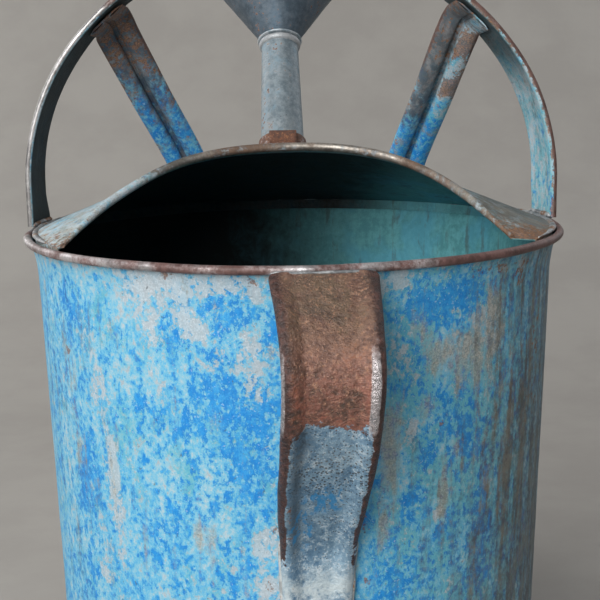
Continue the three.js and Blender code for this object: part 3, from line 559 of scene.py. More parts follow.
def rusted_steel(name, light=0.0):
    s = Shader(name)
    fine, grit, mid = s.noise(340, 6, 0.7), s.noise(1300, 4, 0.65), s.noise(60, 7, 0.66)
    c = s.mix(s.step(s.add((0.5, mid), (0.5, fine)), 0.40, 0.60), (0.05, 0.024, 0.018), (0.17, 0.072, 0.042))
    c = s.mix(s.step(s.add((0.5, grit), (0.5, fine)), 0.52, 0.62), c, (0.34, 0.16, 0.075))
    c = s.mix(s.step(s.add((0.6, mid), (0.4, fine)), 0.56 - light, 0.64 - light), c, (0.33, 0.34, 0.35))
    n = s.bump(s.add((1.0, fine), (0.8, grit)), 0.0003, 0.7)
    return s.done(c, s.fmix(s.step(fine, 0.4, 0.6), 0.55, 0.8), 0.15, n)


def worn_zinc(name, blue=0.3, dark=0.0, tint=(1.0, 1.0, 1.0)):
    """Weathered zinc-coated sheet with stains and traces of paint."""
    s = Shader(name)
    fine, grit, mid = s.noise(340, 6, 0.7), s.noise(1300, 4, 0.65), s.noise(60, 8, 0.66, None, 0.4)
    run = s.noise(150, 6, 0.6, s.scaled(1, 1, 0.16))
    bead, rus, cob, pale = s.attr("bead"), s.attr("rus"), s.attr("cob"), s.attr("pale")
    k = 1.0 - dark

    def tone(*rgb):
        return tuple(k * a * b for a, b in zip(rgb, tint))

    c = s.mix(s.step(s.add((0.5, mid), (0.5, fine)), 0.38, 0.62), tone(0.20, 0.26, 0.30), tone(0.43, 0.50, 0.54))
    c = s.mix(s.math("MULTIPLY", s.step(s.add((0.5, mid), (0.5, run)), 0.48, 0.62), blue), c, tone(0.17, 0.40, 0.56))
    c = s.mix(s.math("MULTIPLY", s.step(s.add((0.5, fine), (0.5, mid), (0.10, cob)), 0.62, 0.68), 0.7), c, tone(*COBALT))
    c = s.mix(s.math("MULTIPLY", pale, s.step(s.add((0.5, mid), (0.5, fine)), 0.38, 0.58)), c, tone(0.50, 0.47, 0.40))
    rusm = s.step(s.add((0.4, mid), (0.6, fine), (0.18, rus)), 0.61, 0.68)
    c = s.mix(s.math("MULTIPLY", rusm, 0.85), c, s.mix(s.step(grit, 0.4, 0.62), RUST_DARK, s.mix(s.step(fine, 0.45, 0.6), RUST, RUST_LIGHT)))
    c = s.mix(s.math("MULTIPLY", s.step(s.noise(600, 3, 0.6), 0.66, 0.72), 0.7), c, (0.05, 0.055, 0.06))
    b = s.step(s.add((1.0, bead), (0.6, fine)), 1.1, 1.35)
    c = s.mix(b, c, tone(0.60, 0.62, 0.64))
    n = s.bump(s.add((1.0, fine), (0.8, grit), (0.5, mid)), 0.00026, 0.7)
    rough = s.fmix(rusm, s.fmix(s.step(mid, 0.42, 0.58), 0.44, 0.60), 0.82)
    return s.done(c, rough, s.fmix(rusm, 0.40, 0.05), n, 0.4)


def solder(name):
    s = Shader(name)
    fine, mid = s.noise(420, 5, 0.65), s.noise(95, 6, 0.6)
    c = s.mix(s.step(s.add((0.5, fine), (0.5, mid)), 0.42, 0.58), (0.17, 0.18, 0.19), (0.43, 0.45, 0.46))
    c = s.mix(s.step(mid, 0.53, 0.60), c, (0.24, 0.13, 0.075))
    n = s.bump(s.add((1.0, fine), (1.0, mid)), 0.0004, 0.8)
    return s.done(c, s.fmix(s.step(fine, 0.4, 0.6), 0.42, 0.62), 0.55, n)


def crust(name, tint=(0.52, 0.56, 0.57), rust=0.0):
    """Chalky white corrosion and old paint over soldered joints."""
    s = Shader(name)
    fine, mid = s.noise(380, 6, 0.7), s.noise(120, 6, 0.62)
    c = s.mix(s.step(s.add((0.5, fine), (0.5, mid)), 0.40, 0.60), tuple(0.55 * x for x in tint), tint)
    c = s.mix(s.step(s.add((0.5, fine), (0.5, mid)), 0.545 - rust, 0.60 - rust), c, (0.30, 0.165, 0.085))
    n = s.bump(s.add((1.0, fine), (1.0, mid)), 0.0005, 0.9)
    return s.done(c, s.fmix(s.step(fine, 0.4, 0.6), 0.6, 0.85), 0.05, n)


M_BODY = flaking_paint("flaking_paint_body", hi=(0.58, 0.56, 0.57), lo=(0.165, 0.092, 0.084))
M_HOOD = flaking_paint("flaking_paint_hood", blue=-0.24, flake=0.02, rust=0.012, hi=(0.40, 0.37, 0.33), lo=(0.16, 0.105, 0.075))
# the hoop's inner colours are dark: painted shade for the inner face of the left leg and the top
M_HOOP = flaking_paint("flaking_paint_hoop", blue=-0.20, flake=0.012, bright=0.02, hi=(0.44, 0.43, 0.43), deep=((0.050, 0.052, 0.046), (0.115, 0.115, 0.100)))
# the stays' dirt_and_shade colours: purple-grey weathering, and painted shade in the groove between the curls
M_STAY = flaking_paint("flaking_paint_stay", blue=0.06, flake=-0.005, rust=0.02, inside=False, hi=(0.36, 0.35, 0.38), dirt_and_shade=((0.072, 0.060, 0.060), (0.185, 0.180, 0.185)))
M_HANDLE = rusty_strap("rusted_strap")
M_RUST = rusted_steel("rusted_steel")
M_BAND = rusted_steel("rusted_band", 0.03)
M_SPOUT = worn_zinc("worn_pale_paint", 0.35, 0.30)
M_ZINC = worn_zinc("weathered_zinc", 0.25)
M_ROSE = worn_zinc("dark_zinc", 0.22, 0.66, (0.92, 1.0, 1.12))
M_SOLDER = solder("old_solder")
M_CRUST = crust("white_crust")

ZERO = dict(cob=0, gry=0, sky=0, grn=0, tan=0, rus=0, bead=0, inside=0)


# ---- body ---------------------------------------------------------------------------------------------------------
def build_body():
    cols = 400
    curl_z = BODY_H - 1.7
    curl_c = float(wall_r(curl_z)) - SHEET + 1.7
    up = np.concatenate([np.linspace(1.3, 246, 118), np.linspace(248, 267, 16)])

    def arc(rad, a0, a1, k):
        a = np.linspace(a0, a1, k + 1) * RAD
        return np.stack([curl_c + rad * np.cos(a), curl_z + rad * np.sin(a)], -1)

    down = np.concatenate([np.linspace(267, 248, 10), np.linspace(244, 1.3, 60)])
    pr = np.vstack(
        [
            np.stack([wall_r(up), up], -1),
            arc(1.0, 180, -113, 12),
            arc(1.7, -113, 180, 18),
            np.stack([wall_r(down) - SHEET, down], -1),
        ]
    )
    kind = np.concatenate([np.zeros(len(up)), np.full(13, 1), np.full(19, 1), np.full(len(down), 2)])
    k = np.arange(cols)
    ang = SEAM + k * (359.5 * RAD) / (cols - 1)
    R, A = np.meshgrid(pr[:, 0], ang)
    Z = np.meshgrid(pr[:, 1], ang)[0]
    lap = (SHEET * k / (cols - 1))[:, None]
    pr3 = np.stack([110 * np.sin(A), -110 * np.cos(A), Z], -1)
    bead_wave = smooth(255, 268, Z) * 0.22 * fbm(pr3 * (1, 1, 0), 48, 2)
    R = R + lap + dent(A, Z) + bead_wave
    Zw = Z + smooth(258, 268, Z) * 0.25 * fbm(pr3 * (1, 1, 0) + 40, 55, 2)
    pts = np.stack([R * np.sin(A), -R * np.cos(A), Zw], -1)
    kk = np.broadcast_to(kind, A.shape)
    at = {n: patches(n, A, Z) * (kk == 0) for n in ("cob", "gry", "sky", "grn", "tan")}
    at["rus"] = patches("rus", A, Z) * (kk < 2) + (kk == 1) * (1.25 * smooth(10 * RAD, 40 * RAD, (A + math.pi) % (2 * math.pi) - math.pi) + 0.12 * smooth(-12 * RAD, -26 * RAD, (A + math.pi) % (2 * math.pi) - math.pi))
    at["gry"] = at["gry"] + 0.45 * (kk == 0) * smooth(252, 267, Z)
    turn = (A + math.pi) % (2 * math.pi) - math.pi
    # dul on the wall: partly weathering, partly painted shade darkening the right side away from the key light
    at["dul"] = (kk == 0) * (0.20 * smooth(-38 * RAD, -60 * RAD, turn) + 0.20 * smooth(6 * RAD, 26 * RAD, turn) * smooth(235, 185, Z) * (1 - smooth(45 * RAD, 105 * RAD, turn)) + 0.62 * smooth(18 * RAD, 70 * RAD, turn) * (1 - 0.9 * smooth(70 * RAD, 150 * RAD, turn)) + 0.25 * smooth(40, 5, Z))
    near = (kk == 0) * smooth(8 * RAD, 16 * RAD, turn) * (1 - smooth(55 * RAD, 75 * RAD, turn))
    at["cob"], at["grn"], at["gry"] = at["cob"] + 0.30 * near, at["grn"] + 0.75 * near, at["gry"] - 0.02 * near
    # dark: painted shade over the whole inner wall except round 135 degrees, where light falls in
    at["dark"] = np.where(kk == 2, 1 - np.exp(-(((np.abs((A % (2 * math.pi)) - 135 * RAD)) / (43 * RAD)) ** 2)), 0.0)
    at["bead"] = np.where(kk == 1, 1.0, 0.0) + 0.55 * (kk == 0) * smooth(263.5, 267, Z)
    at["inside"] = (kk == 2) * 1.0
    o = make("body_visual", pts, quads_of(cols, len(pr), True, True), attrs=at, node="body_shell", mat=M_BODY, sharp=40)
    hole, q = turned([[0, -60], [17.73, -60], [14.87, 60], [0, 60]], 48, place=on_spout)
    cut(o, make("spout_hole", hole, q, body=None, weld=True))
    shade(o, 40)


build_body()


# ---- base -----------------------------------------------------------------------------------------------------------
def build_base():
    f = float(wall_r(0))
    w9 = float(wall_r(9))
    pr = [
        [0, 6.5], [f - 4.2, 6.5], [f - 2.6, 5.1], [f - 2.2, 0], [f + 2.1, 0], [w9 + 2.1, 9],
        [w9 + 1.4, 9], [f + 1.4, 0.8], [f - 1.4, 0.8], [f - 1.9, 5.9], [f - 3.9, 7.2], [0, 7.2],
    ]
    pr = resample(soften(pr, 0.5), 6)

    def wob(p, r, a, h):
        d = 0.35 * fbm(p, 55, 2) * smooth(3, 6, h) * (1 - smooth(f - 14, f - 6, r))
        p[..., 2] += d
        return p

    pts, q = turned(pr, 220, wob=wob)
    z, r = pts[..., 2], np.hypot(pts[..., 0], pts[..., 1])
    at = dict(ZERO, pale=0)
    at["rus"] = 0.75 * (r > f - 6) + 0.35
    at["bead"] = 0.5 * ((r > f + 1.7) & (z > 8.2))
    make("base_visual", pts, q, attrs={k: np.broadcast_to(v, z.shape) for k, v in at.items()}, node="base_disc", mat=M_ZINC, weld=True, sharp=40)


build_base()


# ---- hood -------------------------------------------------------------------------------------------------------------
HOOD_END = 121.6 * RAD


def mouth(s):
    s = np.asarray(s, float)
    w = np.abs(s)
    return np.stack([np.where(s < 0, 90.0, 82.5) * s, 6 - 63 * w**2.6, 270.8 + 31.5 * (1 - w**2.7)], -1)


def rim_point(s):
    s = np.asarray(s, float)
    return np.stack([109.3 * np.sin(HOOD_END * s), 109.3 * np.cos(HOOD_END * s), np.full(s.shape, 270.0)], -1)


def hood_frame(s):
    a, b = np.minimum(1, s + 0.01), np.maximum(-1, s - 0.01)
    m, r = mouth(s), rim_point(s)
    e = unit(m - r)
    t = unit(mouth(a) - mouth(b)) + unit(rim_point(a) - rim_point(b))
    n = unit(np.cross(t, e))
    n = np.where(n[:, 2:3] < 0, -n, n)
    return m, r, e, n


def hood_z(x, y):
    s = np.linspace(-1, 1, 401)
    t = np.linspace(0, 1, 61)
    m, r = mouth(s), rim_point(s)
    q = (m[:, None] + (r - m)[:, None] * t[None, :, None]).reshape(-1, 3)
    d = (q[:, 0] - x) ** 2 + (q[:, 1] - y) ** 2
    return float(q[np.argmin(d), 2])


def build_hood():
    t = np.linspace(-1, 1, 241)
    s = np.sign(t) * (1 - (1 - np.abs(t)) ** 1.25)
    m, r, e, n = hood_frame(s)
    k = (1.8 + (0.95 - 1.8) * smooth(0.8, 1, np.abs(s)))[:, None]
    c = m - k * e + (k - SHEET) * n
    out = unit(r * (1, 1, 0))
    low = r - 0.9 * out + np.array([0, 0, -5.0])
    wave = 0.0
    col, kind, cu = [], [], []

    def put(p, k, bead):
        col.append(p)
        kind.append(k)
        cu.append(bead)

    put(low, 1, 0)
    put(r, 0, 0)
    top0, top1 = r, m - k * e
    for f in np.linspace(0, 1, 40)[1:-1]:
        put(top0 + (top1 - top0) * f, 0, max(0.0, 1 - (1 - f) / 0.05) * 0.5)
    for a in np.linspace(-90, 208, 17) * RAD:
        put(c + (k - SHEET) * (math.cos(a) * e + math.sin(a) * n), 0, 1)
    for a in np.linspace(208, -90, 21) * RAD:
        put(c + k * (math.cos(a) * e + math.sin(a) * n), 0, 1)
    b0, b1 = m - k * e - SHEET * n, r - SHEET * n - SHEET * out
    for f in np.linspace(0, 1, 26)[1:]:
        put(b0 + (b1 - b0) * f, 1, max(0.0, 1 - f / 0.06) * 0.5)
    put(low - SHEET * out, 1, 0)
    pts = np.stack(col, 1)
    d = 0.55 * fbm(pts * (1, 1, 0.3), 46, 2) * smooth(271, 279, pts[..., 2])
    pts = pts + d[..., None] * n[:, None, :]
    S = np.broadcast_to(np.abs(s)[:, None], pts.shape[:2])
    X = pts[..., 0]
    bead = np.broadcast_to(cu, S.shape) * (0.62 - np.where(X > 0, 0.12, 0.5) * smooth(0.55, 0.85, S))
    under = np.broadcast_to(kind, S.shape)
    # dul greys the hood's right side, partly weathering and partly painted shade; dark is painted shade on the
    # underside, least round x = 70 mm
    at = dict(
        cob=0.45 * fbm(pts, 60, 2), gry=0.35, sky=0.3, grn=0.35, tan=0.40 + 0.7 * smooth(0.72, 0.98, S), dul=0.25 + 0.40 * smooth(20, 70, X) + 0.25 * smooth(70, 100, X),
        rus=0.1 + (0.60 + 0.25 * (X > 0)) * smooth(0.80, 0.99, S) + 0.30 * (pts[..., 2] < 273), bead=bead, inside=under * 0.95,
        dark=np.where(under > 0, 1 - 0.8 * np.exp(-(((X - 70) / 34) ** 2)), 0.0),
    )
    g, q, caps = tube_rings(pts)
    make("hood_visual", g, q, caps, {k: np.broadcast_to(v, S.shape) for k, v in at.items()}, "hood", mat=M_HOOD, sharp=46)


build_hood()

# ---- back handle ---------------------------------------------------------------------------------------------------------
HANDLE_W = [39.5, 37.6, 36.2, 35.2, 34.8, 34.4, 33.4, 31.2, 28.6, 26.6, 25.2]
HANDLE_PATH = [
    [114.2, 267.0], [119.3, 263.6], [127.6, 257.0], [136.2, 248.6], [141.2, 239.6], [141.9, 230.0], [138.6, 218.4],
    [131.3, 204.0], [121.8, 188.4], [112.6, 174.6], [107.1, 164.0], [105.5, 153.0], [104.9, 138.0],
]


def handle_section(half, k, web=24):
    """Outline of the strap with a round bead along each edge, as [u, v]."""
    br, top, bw = 3.2, 3.6, 9.0

    def rnd(r, a0, a1, n):
        a = np.linspace(a0, a1, n) * RAD
        return np.stack([half - br + r * np.cos(a), k * (top - br + r * np.sin(a))], -1)

    f = np.linspace(0, 1, 13)[1:]
    fu = half - br + (br - bw) * f
    fv = k * (top - SHEET) * (1 - smooth(0, 1, f))
    inner, outer = rnd(br - SHEET, 90, -20, 13), rnd(br, -20, 90, 13)
    t = np.linspace(0, 1, 13)
    need = np.where(t > 0.3, SHEET * np.sin((0.35 + 0.65 * t) * math.pi / 2), 0)
    outer[:, 1] = inner[::-1, 1] + np.maximum(outer[:, 1] - inner[::-1, 1], need)
    right = np.vstack([np.stack([fu, fv], -1)[::-1], inner, outer, np.stack([fu, fv + SHEET], -1)])
    left = (right * (-1, 1))[::-1]
    x = np.linspace(half - bw, -(half - bw), web + 2)[1:-1]
    return np.vstack([right, np.stack([x, np.full(web, SHEET)], -1), left, np.stack([x[::-1], np.zeros(web)], -1)])


def handle_frames(rows):
    p = spaced([[a, 0, b] for a, b in HANDLE_PATH], rows)
    t = unit(np.gradient(p, axis=0))
    n = np.stack([-t[:, 2], t[:, 0]], -1)
    s = np.linspace(0, 1, rows)
    width = np.interp(s, np.linspace(0, 1, len(HANDLE_W)), HANDLE_W)
    turn = (3.7 + (2.2 - 3.7) * smooth(0.2, 1, s)) * RAD
    curl = (0.22 + 0.78 * smooth(0, 0.13, s)) * (1 - 0.45 * smooth(0.8, 1, s))
    return p, n, s, width, turn, curl


def on_handle(p, n, turn, u, v):
    r = p[0] + n[0] * v
    a = turn + u / p[0]
    return np.stack([r * np.sin(a), -r * np.cos(a), p[2] + n[1] * v + 0 * a], -1)


def build_handle():
    rows = 280
    p, n, s, width, turn, curl = handle_frames(rows)
    # the beads are a little uneven along the strap
    line = np.stack([s * 220, s * 0, s * 0], -1)
    wl, wr = 0.55 * fbm(line + 3, 34, 2), 0.55 * fbm(line + 33, 30, 2)
    hl, hr = 1 + 0.16 * fbm(line + 63, 26, 2), 1 + 0.16 * fbm(line + 93, 24, 2)
    rings, U, V = [], [], []
    for i in range(rows):
        nip = max(0.0, 1 - s[i] / 0.022)
        half = width[i] / 2 - 2.6 * (1 - math.sqrt(1 - nip**2))
        q = handle_section(half, curl[i])
        side = np.clip(q[:, 0] / half, -1, 1)
        u = q[:, 0] + np.where(side > 0, wr[i], wl[i]) * np.abs(side) ** 2
        v = np.where(q[:, 1] > SHEET, SHEET + (q[:, 1] - SHEET) * np.where(side > 0, hr[i], hl[i]), q[:, 1])
        bowl = 0.5 * np.cos(np.clip(side * 1.6, -1, 1) * math.pi / 2) * smooth(0.08, 0.25, s[i]) * (1 - smooth(0.7, 0.9, s[i]))
        rings.append(on_handle(p[i], n[i], turn[i], u, v - bowl))
        U.append(side)
        V.append(q[:, 1])
    rings, U, V = np.array(rings), np.array(U), np.array(V)
    nn = np.stack([0 * n[:, 0], -n[:, 0], n[:, 1]], -1)
    d = (0.22 * fbm(rings, 30, 2) + 0.10 * fbm(rings + 50, 8, 2)) * (smooth(0.03, 0.12, s) * (1 - smooth(0.85, 0.97, s)))[:, None]
    rings = rings + d[..., None] * nn[:, None, :]
    Z = rings[..., 2]
    wave = 5.0 * fbm(rings * (1, 1, 0.25), 13, 3)
    rim = smooth(0.74, 0.88, np.abs(U) + 0.05 * fbm(rings + 70, 9, 2))
    keep = np.where(U < 0, 0.95, 0.85)
    low = smooth(223.5 + wave, 212 + wave, Z) * (1 - keep * rim * smooth(138, 172, Z))
    at = dict(
        low=0.55 * low, red=smooth(244, 228, Z) * 0.8, olive=smooth(240, 252, Z) * 0.75,
        # bead: polished edge, with a painted highlight on the right bead's inner flank and the left bead's outer edge
        bead=np.where(U > 0, smooth(1.2, 3.0, V), smooth(0.2, 0.9, V)) * smooth(200, 222, Z) * (1 - smooth(236, 263, Z)) * np.where(U > 0, 0.95, 0.80)
        * np.where(U > 0, smooth(0.62, 0.72, U) * (1 - 0.7 * smooth(0.84, 0.92, U)), smooth(-0.86, -0.94, U)),
        shaded=0.85 * np.exp(-(((U + 0.62) / 0.13) ** 2)) * smooth(226, 214, Z) * smooth(150, 175, Z) + 0.8 * np.exp(-(((U + 0.5) / 0.2) ** 2)) * np.exp(-(((Z - 214) / 6) ** 2)),
        # crest_rust_and_shade: dark rust on the beads, with painted shade on their outer flanks
        crest_rust_and_shade=smooth(0.70, 0.88, np.abs(U)) * smooth(140, 165, Z), pit=np.exp(-(((Z - 200) / 9) ** 2)) - 0.5 * smooth(180, 160, Z),
        cob=np.exp(-(((Z - 187) / 5) ** 2)) * np.exp(-(((U - 0.1) / 0.45) ** 2)) + np.exp(-(((Z - 173) / 8) ** 2)) * np.exp(-(((U + 0.45) / 0.25) ** 2)),
        pale=smooth(161, 147, Z) * 0.95 + 0.2 * np.exp(-(((Z - 205) / 5) ** 2)),
        orange=0.35 * np.exp(-(((Z - 222) / 4) ** 2)) + 0.55 * np.exp(-(((U + 0.72) / 0.07) ** 2)) * smooth(250, 225, Z) + 0.3 * np.exp(-(((U - 0.78) / 0.06) ** 2)) * smooth(225, 205, Z),
    )
    g, q, caps = tube_rings(rings)
    make("back_handle_visual", g, q, caps, at, "back_handle", mat=M_HANDLE, sharp=55)


build_handle()


# ---- hoop handle -----------------------------------------------------------------------------------------------------------
HOOP_A, HOOP_B, HOOP_SPRING, HOOP_Y = 115.0, 104.0, 288.0, 19.5


def hoop_turn(x, y, z):
    """How far the strap's front stands further in than its back edge."""
    leg = 0.65 + 0.45 * smooth(-60, 60, x)
    return (HOOP_A - np.sqrt(HOOP_A**2 - y**2)) * (1 + (leg - 1) * smooth(270, 284, z)) * (1 - 0.5 * smooth(345, 390, z))


def build_hoop():
    sec = strap_section(12.0, 1.5, 1.5, 11, 220, 22)
    rows = []
    for z in np.linspace(270.4, 287, 14):
        rows.append((-HOOP_A, z, 1.0, 0.0))
    for a in math.pi * (1 - np.linspace(0, 1, 221)):
        nx, nz = -math.cos(a) / HOOP_A, -math.sin(a) / HOOP_B
        l = math.hypot(nx, nz)
        rows.append((HOOP_A * math.cos(a), HOOP_SPRING + HOOP_B * math.sin(a), nx / l, nz / l))
    for z in np.linspace(287, 270.4, 14):
        rows.append((HOOP_A, z, -1.0, 0.0))
    rows = np.array(rows)
    k = len(rows)
    x, z, nx, nz = (rows[:, i][:, None] for i in range(4))
    u, v = sec[:, 0][None], 3.0 - sec[:, 1][None]
    y = HOOP_Y - u + 0 * x
    deep = v + hoop_turn(x, y, z)
    pts = np.stack([x + nx * deep, y, z + nz * deep], -1)
    nn = np.stack([-nx[:, 0], 0 * nx[:, 0], -nz[:, 0]], -1)
    amp = smooth(272, 300, z)
    d = amp * (0.35 * fbm(pts, 44, 2))
    pts = pts + d[..., None] * nn[:, None]
    pts[..., 1] += amp * 0.5 * fbm(pts * (1, 0, 1) + 200, 70, 2)
    Z, X = pts[..., 2], pts[..., 0]
    V = np.broadcast_to(3.0 - v, Z.shape)
    U = np.broadcast_to(u / 12.0, Z.shape)
    bead = smooth(1.0, 2.2, V) + 0.45 * smooth(0.86, 0.97, np.abs(U))
    left = smooth(20, -30, X)
    inner = (V < 0.45) * 1.0
    # inside and dark here paint shade onto the left leg's inner face and the top of the inner face
    at = dict(
        cob=0.0 * Z, gry=0.30 + 0 * Z, sky=0.2 + 0.5 * (X > 0), grn=0.5 + 0.3 * (X > 0), tan=0.15 + 0 * Z, dul=0.25 + 0.25 * smooth(330, 372, Z),
        rus=np.clip(0.1 + 0.55 * smooth(335, 372, Z) + 0.4 * smooth(281, 271, Z) - 0.9 * left * (V > 0.6) * smooth(395, 350, Z) + 0.75 * (1 - left) * (V > 0.6), -1, 1.2),
        bead=np.clip(bead * (0.80 + 0.25 * left), 0, 1), inside=inner * np.clip(0.96 * left + 0.80 * smooth(320, 345, Z), 0, 0.96), dark=0.62 + 0 * Z,
    )
    g, q, caps = tube_rings(pts)
    make("hoop_handle_visual", g, q, caps, at, "hoop_handle", mat=M_HOOP, sharp=55)


build_hoop()


# ---- stays -------------------------------------------------------------------------------------------------------------------
def build_stay(side, name, node):
    x = 81.5
    z = HOOP_SPRING + HOOP_B * math.sqrt(1 - (x / HOOP_A) ** 2)
    un = unit([-x / HOOP_A**2, 0, -(z - HOOP_SPRING) / HOOP_B**2])

    def under(y):
        return np.array([x, y, z]) + un * (4.0 + float(hoop_turn(side * x, y, z)))

    lift = SHEET + 0.35 * (2 * 2.3 - SHEET) + 1.1
    x0 = 48.5 if side < 0 else 56.5

    def pad(px, py, more=0.0):
        return [px, py, hood_z(side * px, py) + lift + more]

    low = np.array([x0, 80, 292.0])
    bend = under(33.5) + (-1.0, 0, -3.6)
    keys = np.array(
        [
            pad(x0 - 7.2, 97.0 - (x0 - 48) * 0.35), pad(x0 - 5.4, 91.5 - (x0 - 48) * 0.2), pad(x0 - 3.8, 86.5, 1.0), low,
            low + (bend - low) * 0.55, bend, under(27.5), under(20.0), under(12.5),
        ]
    )
    norm = np.array(
        [[0, -0.28, -0.96], [0, -0.28, -0.96], [0, -0.5, -0.86], [0, -0.8, -0.6], [-0.08, -0.8, -0.6], [-0.36, -0.55, -0.75], un + (0, -0.12, 0), un, un]
    )
    curl = np.array([0.35, 0.35, 0.55, 1, 1, 0.8, 0.4, 0.25, 0.2])
    tt = np.concatenate([np.linspace(i, i + 1, k, endpoint=False) for i, k in enumerate([6, 8, 14, 40, 40, 12, 8, 8])] + [[8.0]]) / 8
    p, tan = catmull(keys, tt)
    j = tt * 8
    N = np.stack([np.interp(j, np.arange(9), norm[:, c]) for c in range(3)], -1)
    N = unit(N - (N * tan).sum(1)[:, None] * tan)
    W = np.cross(N, tan)
    K = np.interp(j, np.arange(9), curl)
    sec = strap_section(9.5, 4.2, 2.3, 11, 218, 6)
    rings, U, V = [], [], []
    for i in range(len(tt)):
        q = strap_at(sec, 9.5, 4.2, 9.5, K[i])
        rings.append(p[i] + q[:, :1] * W[i] + q[:, 1:] * N[i])
        U.append(q[:, 0] / 9.5)
        V.append(q[:, 1])
    rings, U, V = np.array(rings), np.array(U), np.array(V)
    d = 0.3 * fbm(rings + 300 * side, 28, 2) * (smooth(0.25, 0.4, tt) * (1 - smooth(0.6, 0.7, tt)))[:, None]
    rings = rings + d[..., None] * N[:, None]
    rings[..., 0] *= side
    Z = rings[..., 2]
    f = smooth(305, 362, Z)
    # painted shade down the groove between the curls, carried by dul
    groove_shade = np.exp(-((U / 0.22) ** 2))
    bead = 0.35 * smooth(0.75, 0.95, np.abs(U)) + 0.25 * smooth(0.8, 2.4, V)
    at = dict(
        cob=(1 - f) * (1.1 if side > 0 else 1.0) - (0.8 * smooth(300, 330, Z) if side > 0 else 0), gry=0.15 + 0.5 * (side > 0) * smooth(298, 325, Z), sky=0.55 + 0 * Z, grn=0.3 + 0.4 * (side > 0) + 0 * Z, tan=0.4 + 0 * Z,
        dul=(0.85 if side < 0 else 0.30) * f + 0.5 * groove_shade + (0.75 * smooth(0.0, 0.3, U) * smooth(300, 316, Z) if side > 0 else 0.28), rus=0.20 + f * (0.75 if side < 0 else 0.40) + 0.4 * smooth(284, 276, Z) + 0.3 * smooth(0.8, 0.95, np.abs(U)) + (side > 0) * (U < -0.25) * (1.1 * np.exp(-(((Z - 326) / 5) ** 2)) + 1.0 * np.exp(-(((Z - 343) / 4) ** 2))),
        bead=np.clip(bead * (0.3 + 0.9 * f), 0, 1),
    )
    g, q, caps = tube_rings(rings)
    make(name, g, q, caps, at, node, mat=M_STAY, sharp=50)


build_stay(-1, "left_stay_visual", "left_stay")
build_stay(1, "right_stay_visual", "right_stay")


# ---- spout ---------------------------------------------------------------------------------------------------------------------
def wall_start(r_of, a):
    """Where along the axis each line of the tube leaves the can's wall."""
    lo, hi = np.full(a.shape, -40.0), np.full(a.shape, 200.0)
    for _ in range(50):
        m = (lo + hi) / 2
        p = on_spout(r_of(m), a, m)
        inside = np.hypot(p[:, 0], p[:, 1]) < wall_r(np.minimum(p[:, 2], 252)) + SHEET + 0.65
        lo, hi = np.where(inside, m, lo), np.where(inside, hi, m)
    return hi


def build_spout():
    cols = 112
    a = np.linspace(0, 2 * math.pi, cols, endpoint=False)
    s0 = wall_start(spout_r, a)
    s1 = wall_start(lambda s: spout_r(s) - SHEET, a)
    end = T - 3.2
    f = np.linspace(0, 1, 150)
    so = s0[:, None] + (end - s0)[:, None] * f[None]
    ro = spout_r(so)
    bead = [[12.5, T - 2.2], [12.955, T - 0.9], [12.5, T + 0.4], [11.1, T + 0.9], [10.5, T]]
    bt = np.array([[11.3, T - 3.0], [11.9, T - 2.7], *bead])
    si = (T - 1 + (s1 - T + 1)[:, None] * np.linspace(0, 1, 60)[None])
    ri = spout_r(si) - SHEET
    S = np.concatenate([so, np.tile(bt[:, 1], (cols, 1)), si], 1)
    R = np.concatenate([ro, np.tile(bt[:, 0], (cols, 1)), ri], 1)
    A = np.broadcast_to(a[:, None], S.shape)
    pts = on_spout(R, A, S)
    lump = smooth(60, 110, S) * (1 - smooth(246, 260, S)) + smooth(282, 296, S) * (1 - smooth(318, 336, S))
    d = lump * 0.35 * fbm(pts, 52, 2)
    rad = unit(pts - SPOUT0 - ((pts - SPOUT0) @ AX)[..., None] * AX)
    # the tube's own long seam, on its underside
    seam = 0.55 * np.exp(-((((A + math.pi / 2 - 0.18 + math.pi) % (2 * math.pi) - math.pi) * 16 / 1.6) ** 2)) * smooth(55, 90, S) * (1 - smooth(252, 262, S))
    pts = pts + (d + seam)[..., None] * rad
    inner = np.arange(S.shape[1]) >= 150 + len(bt)
    at = dict(
        bead=np.where((S > T - 3.1) & ~inner[None], 1.0, 0.0), rus=0.35 + 0.5 * smooth(40, 20, S) + 0.45 * inner[None] + 0 * S,
        cob=0.35 + 0 * S, pale=0.75 * np.exp(-(((S - 225) / 42) ** 2)) * (np.cos(A - 2.0) > 0.1),
    )
    make("spout_visual", pts, quads_of(cols, S.shape[1], True, True), attrs=at, node="spout_tube", mat=M_SPOUT, sharp=50)
    # solder run round the foot
    foot = on_spout(spout_r(s0), a, s0)
    run = np.vstack([foot])
    fillet("spout_foot_solder", run, 2.1, True)


def fillet(name, path, r, closed, flat=1.0, seed=0.0, mat=None):
    """A lumpy run of solder along a path."""
    path = np.asarray(path, float)
    k = len(path)
    tan = unit(np.roll(path, -1, 0) - np.roll(path, 1, 0)) if closed else unit(np.gradient(path, axis=0))
    ref = unit(path * (1, 1, 0) + 1e-6)
    u = unit(ref - (ref * tan).sum(1)[:, None] * tan)
    w = np.cross(tan, u)
    a = np.linspace(0, 2 * math.pi, 14, endpoint=False)
    rr = r * (1 + 0.55 * fbm(path + seed, 11, 2))
    if not closed:
        e = np.linspace(0, 1, k)
        rr = rr * (0.25 + 0.75 * smooth(0, 0.05, e) * (1 - smooth(0.95, 1, e)))
    rings = path[:, None] + (rr[:, None] * np.cos(a))[..., None] * u[:, None] * flat + (rr[:, None] * np.sin(a))[..., None] * w[:, None]
    rings = rings + 0.25 * fbm(rings + seed, 5, 2)[..., None] * u[:, None]
    if closed:
        make(name, rings, quads_of(k, 14, True, True), mat=mat or M_SOLDER)
    else:
        g, q, caps = tube_rings(rings)
        make(name, g, q, caps, mat=mat or M_SOLDER)


build_spout()


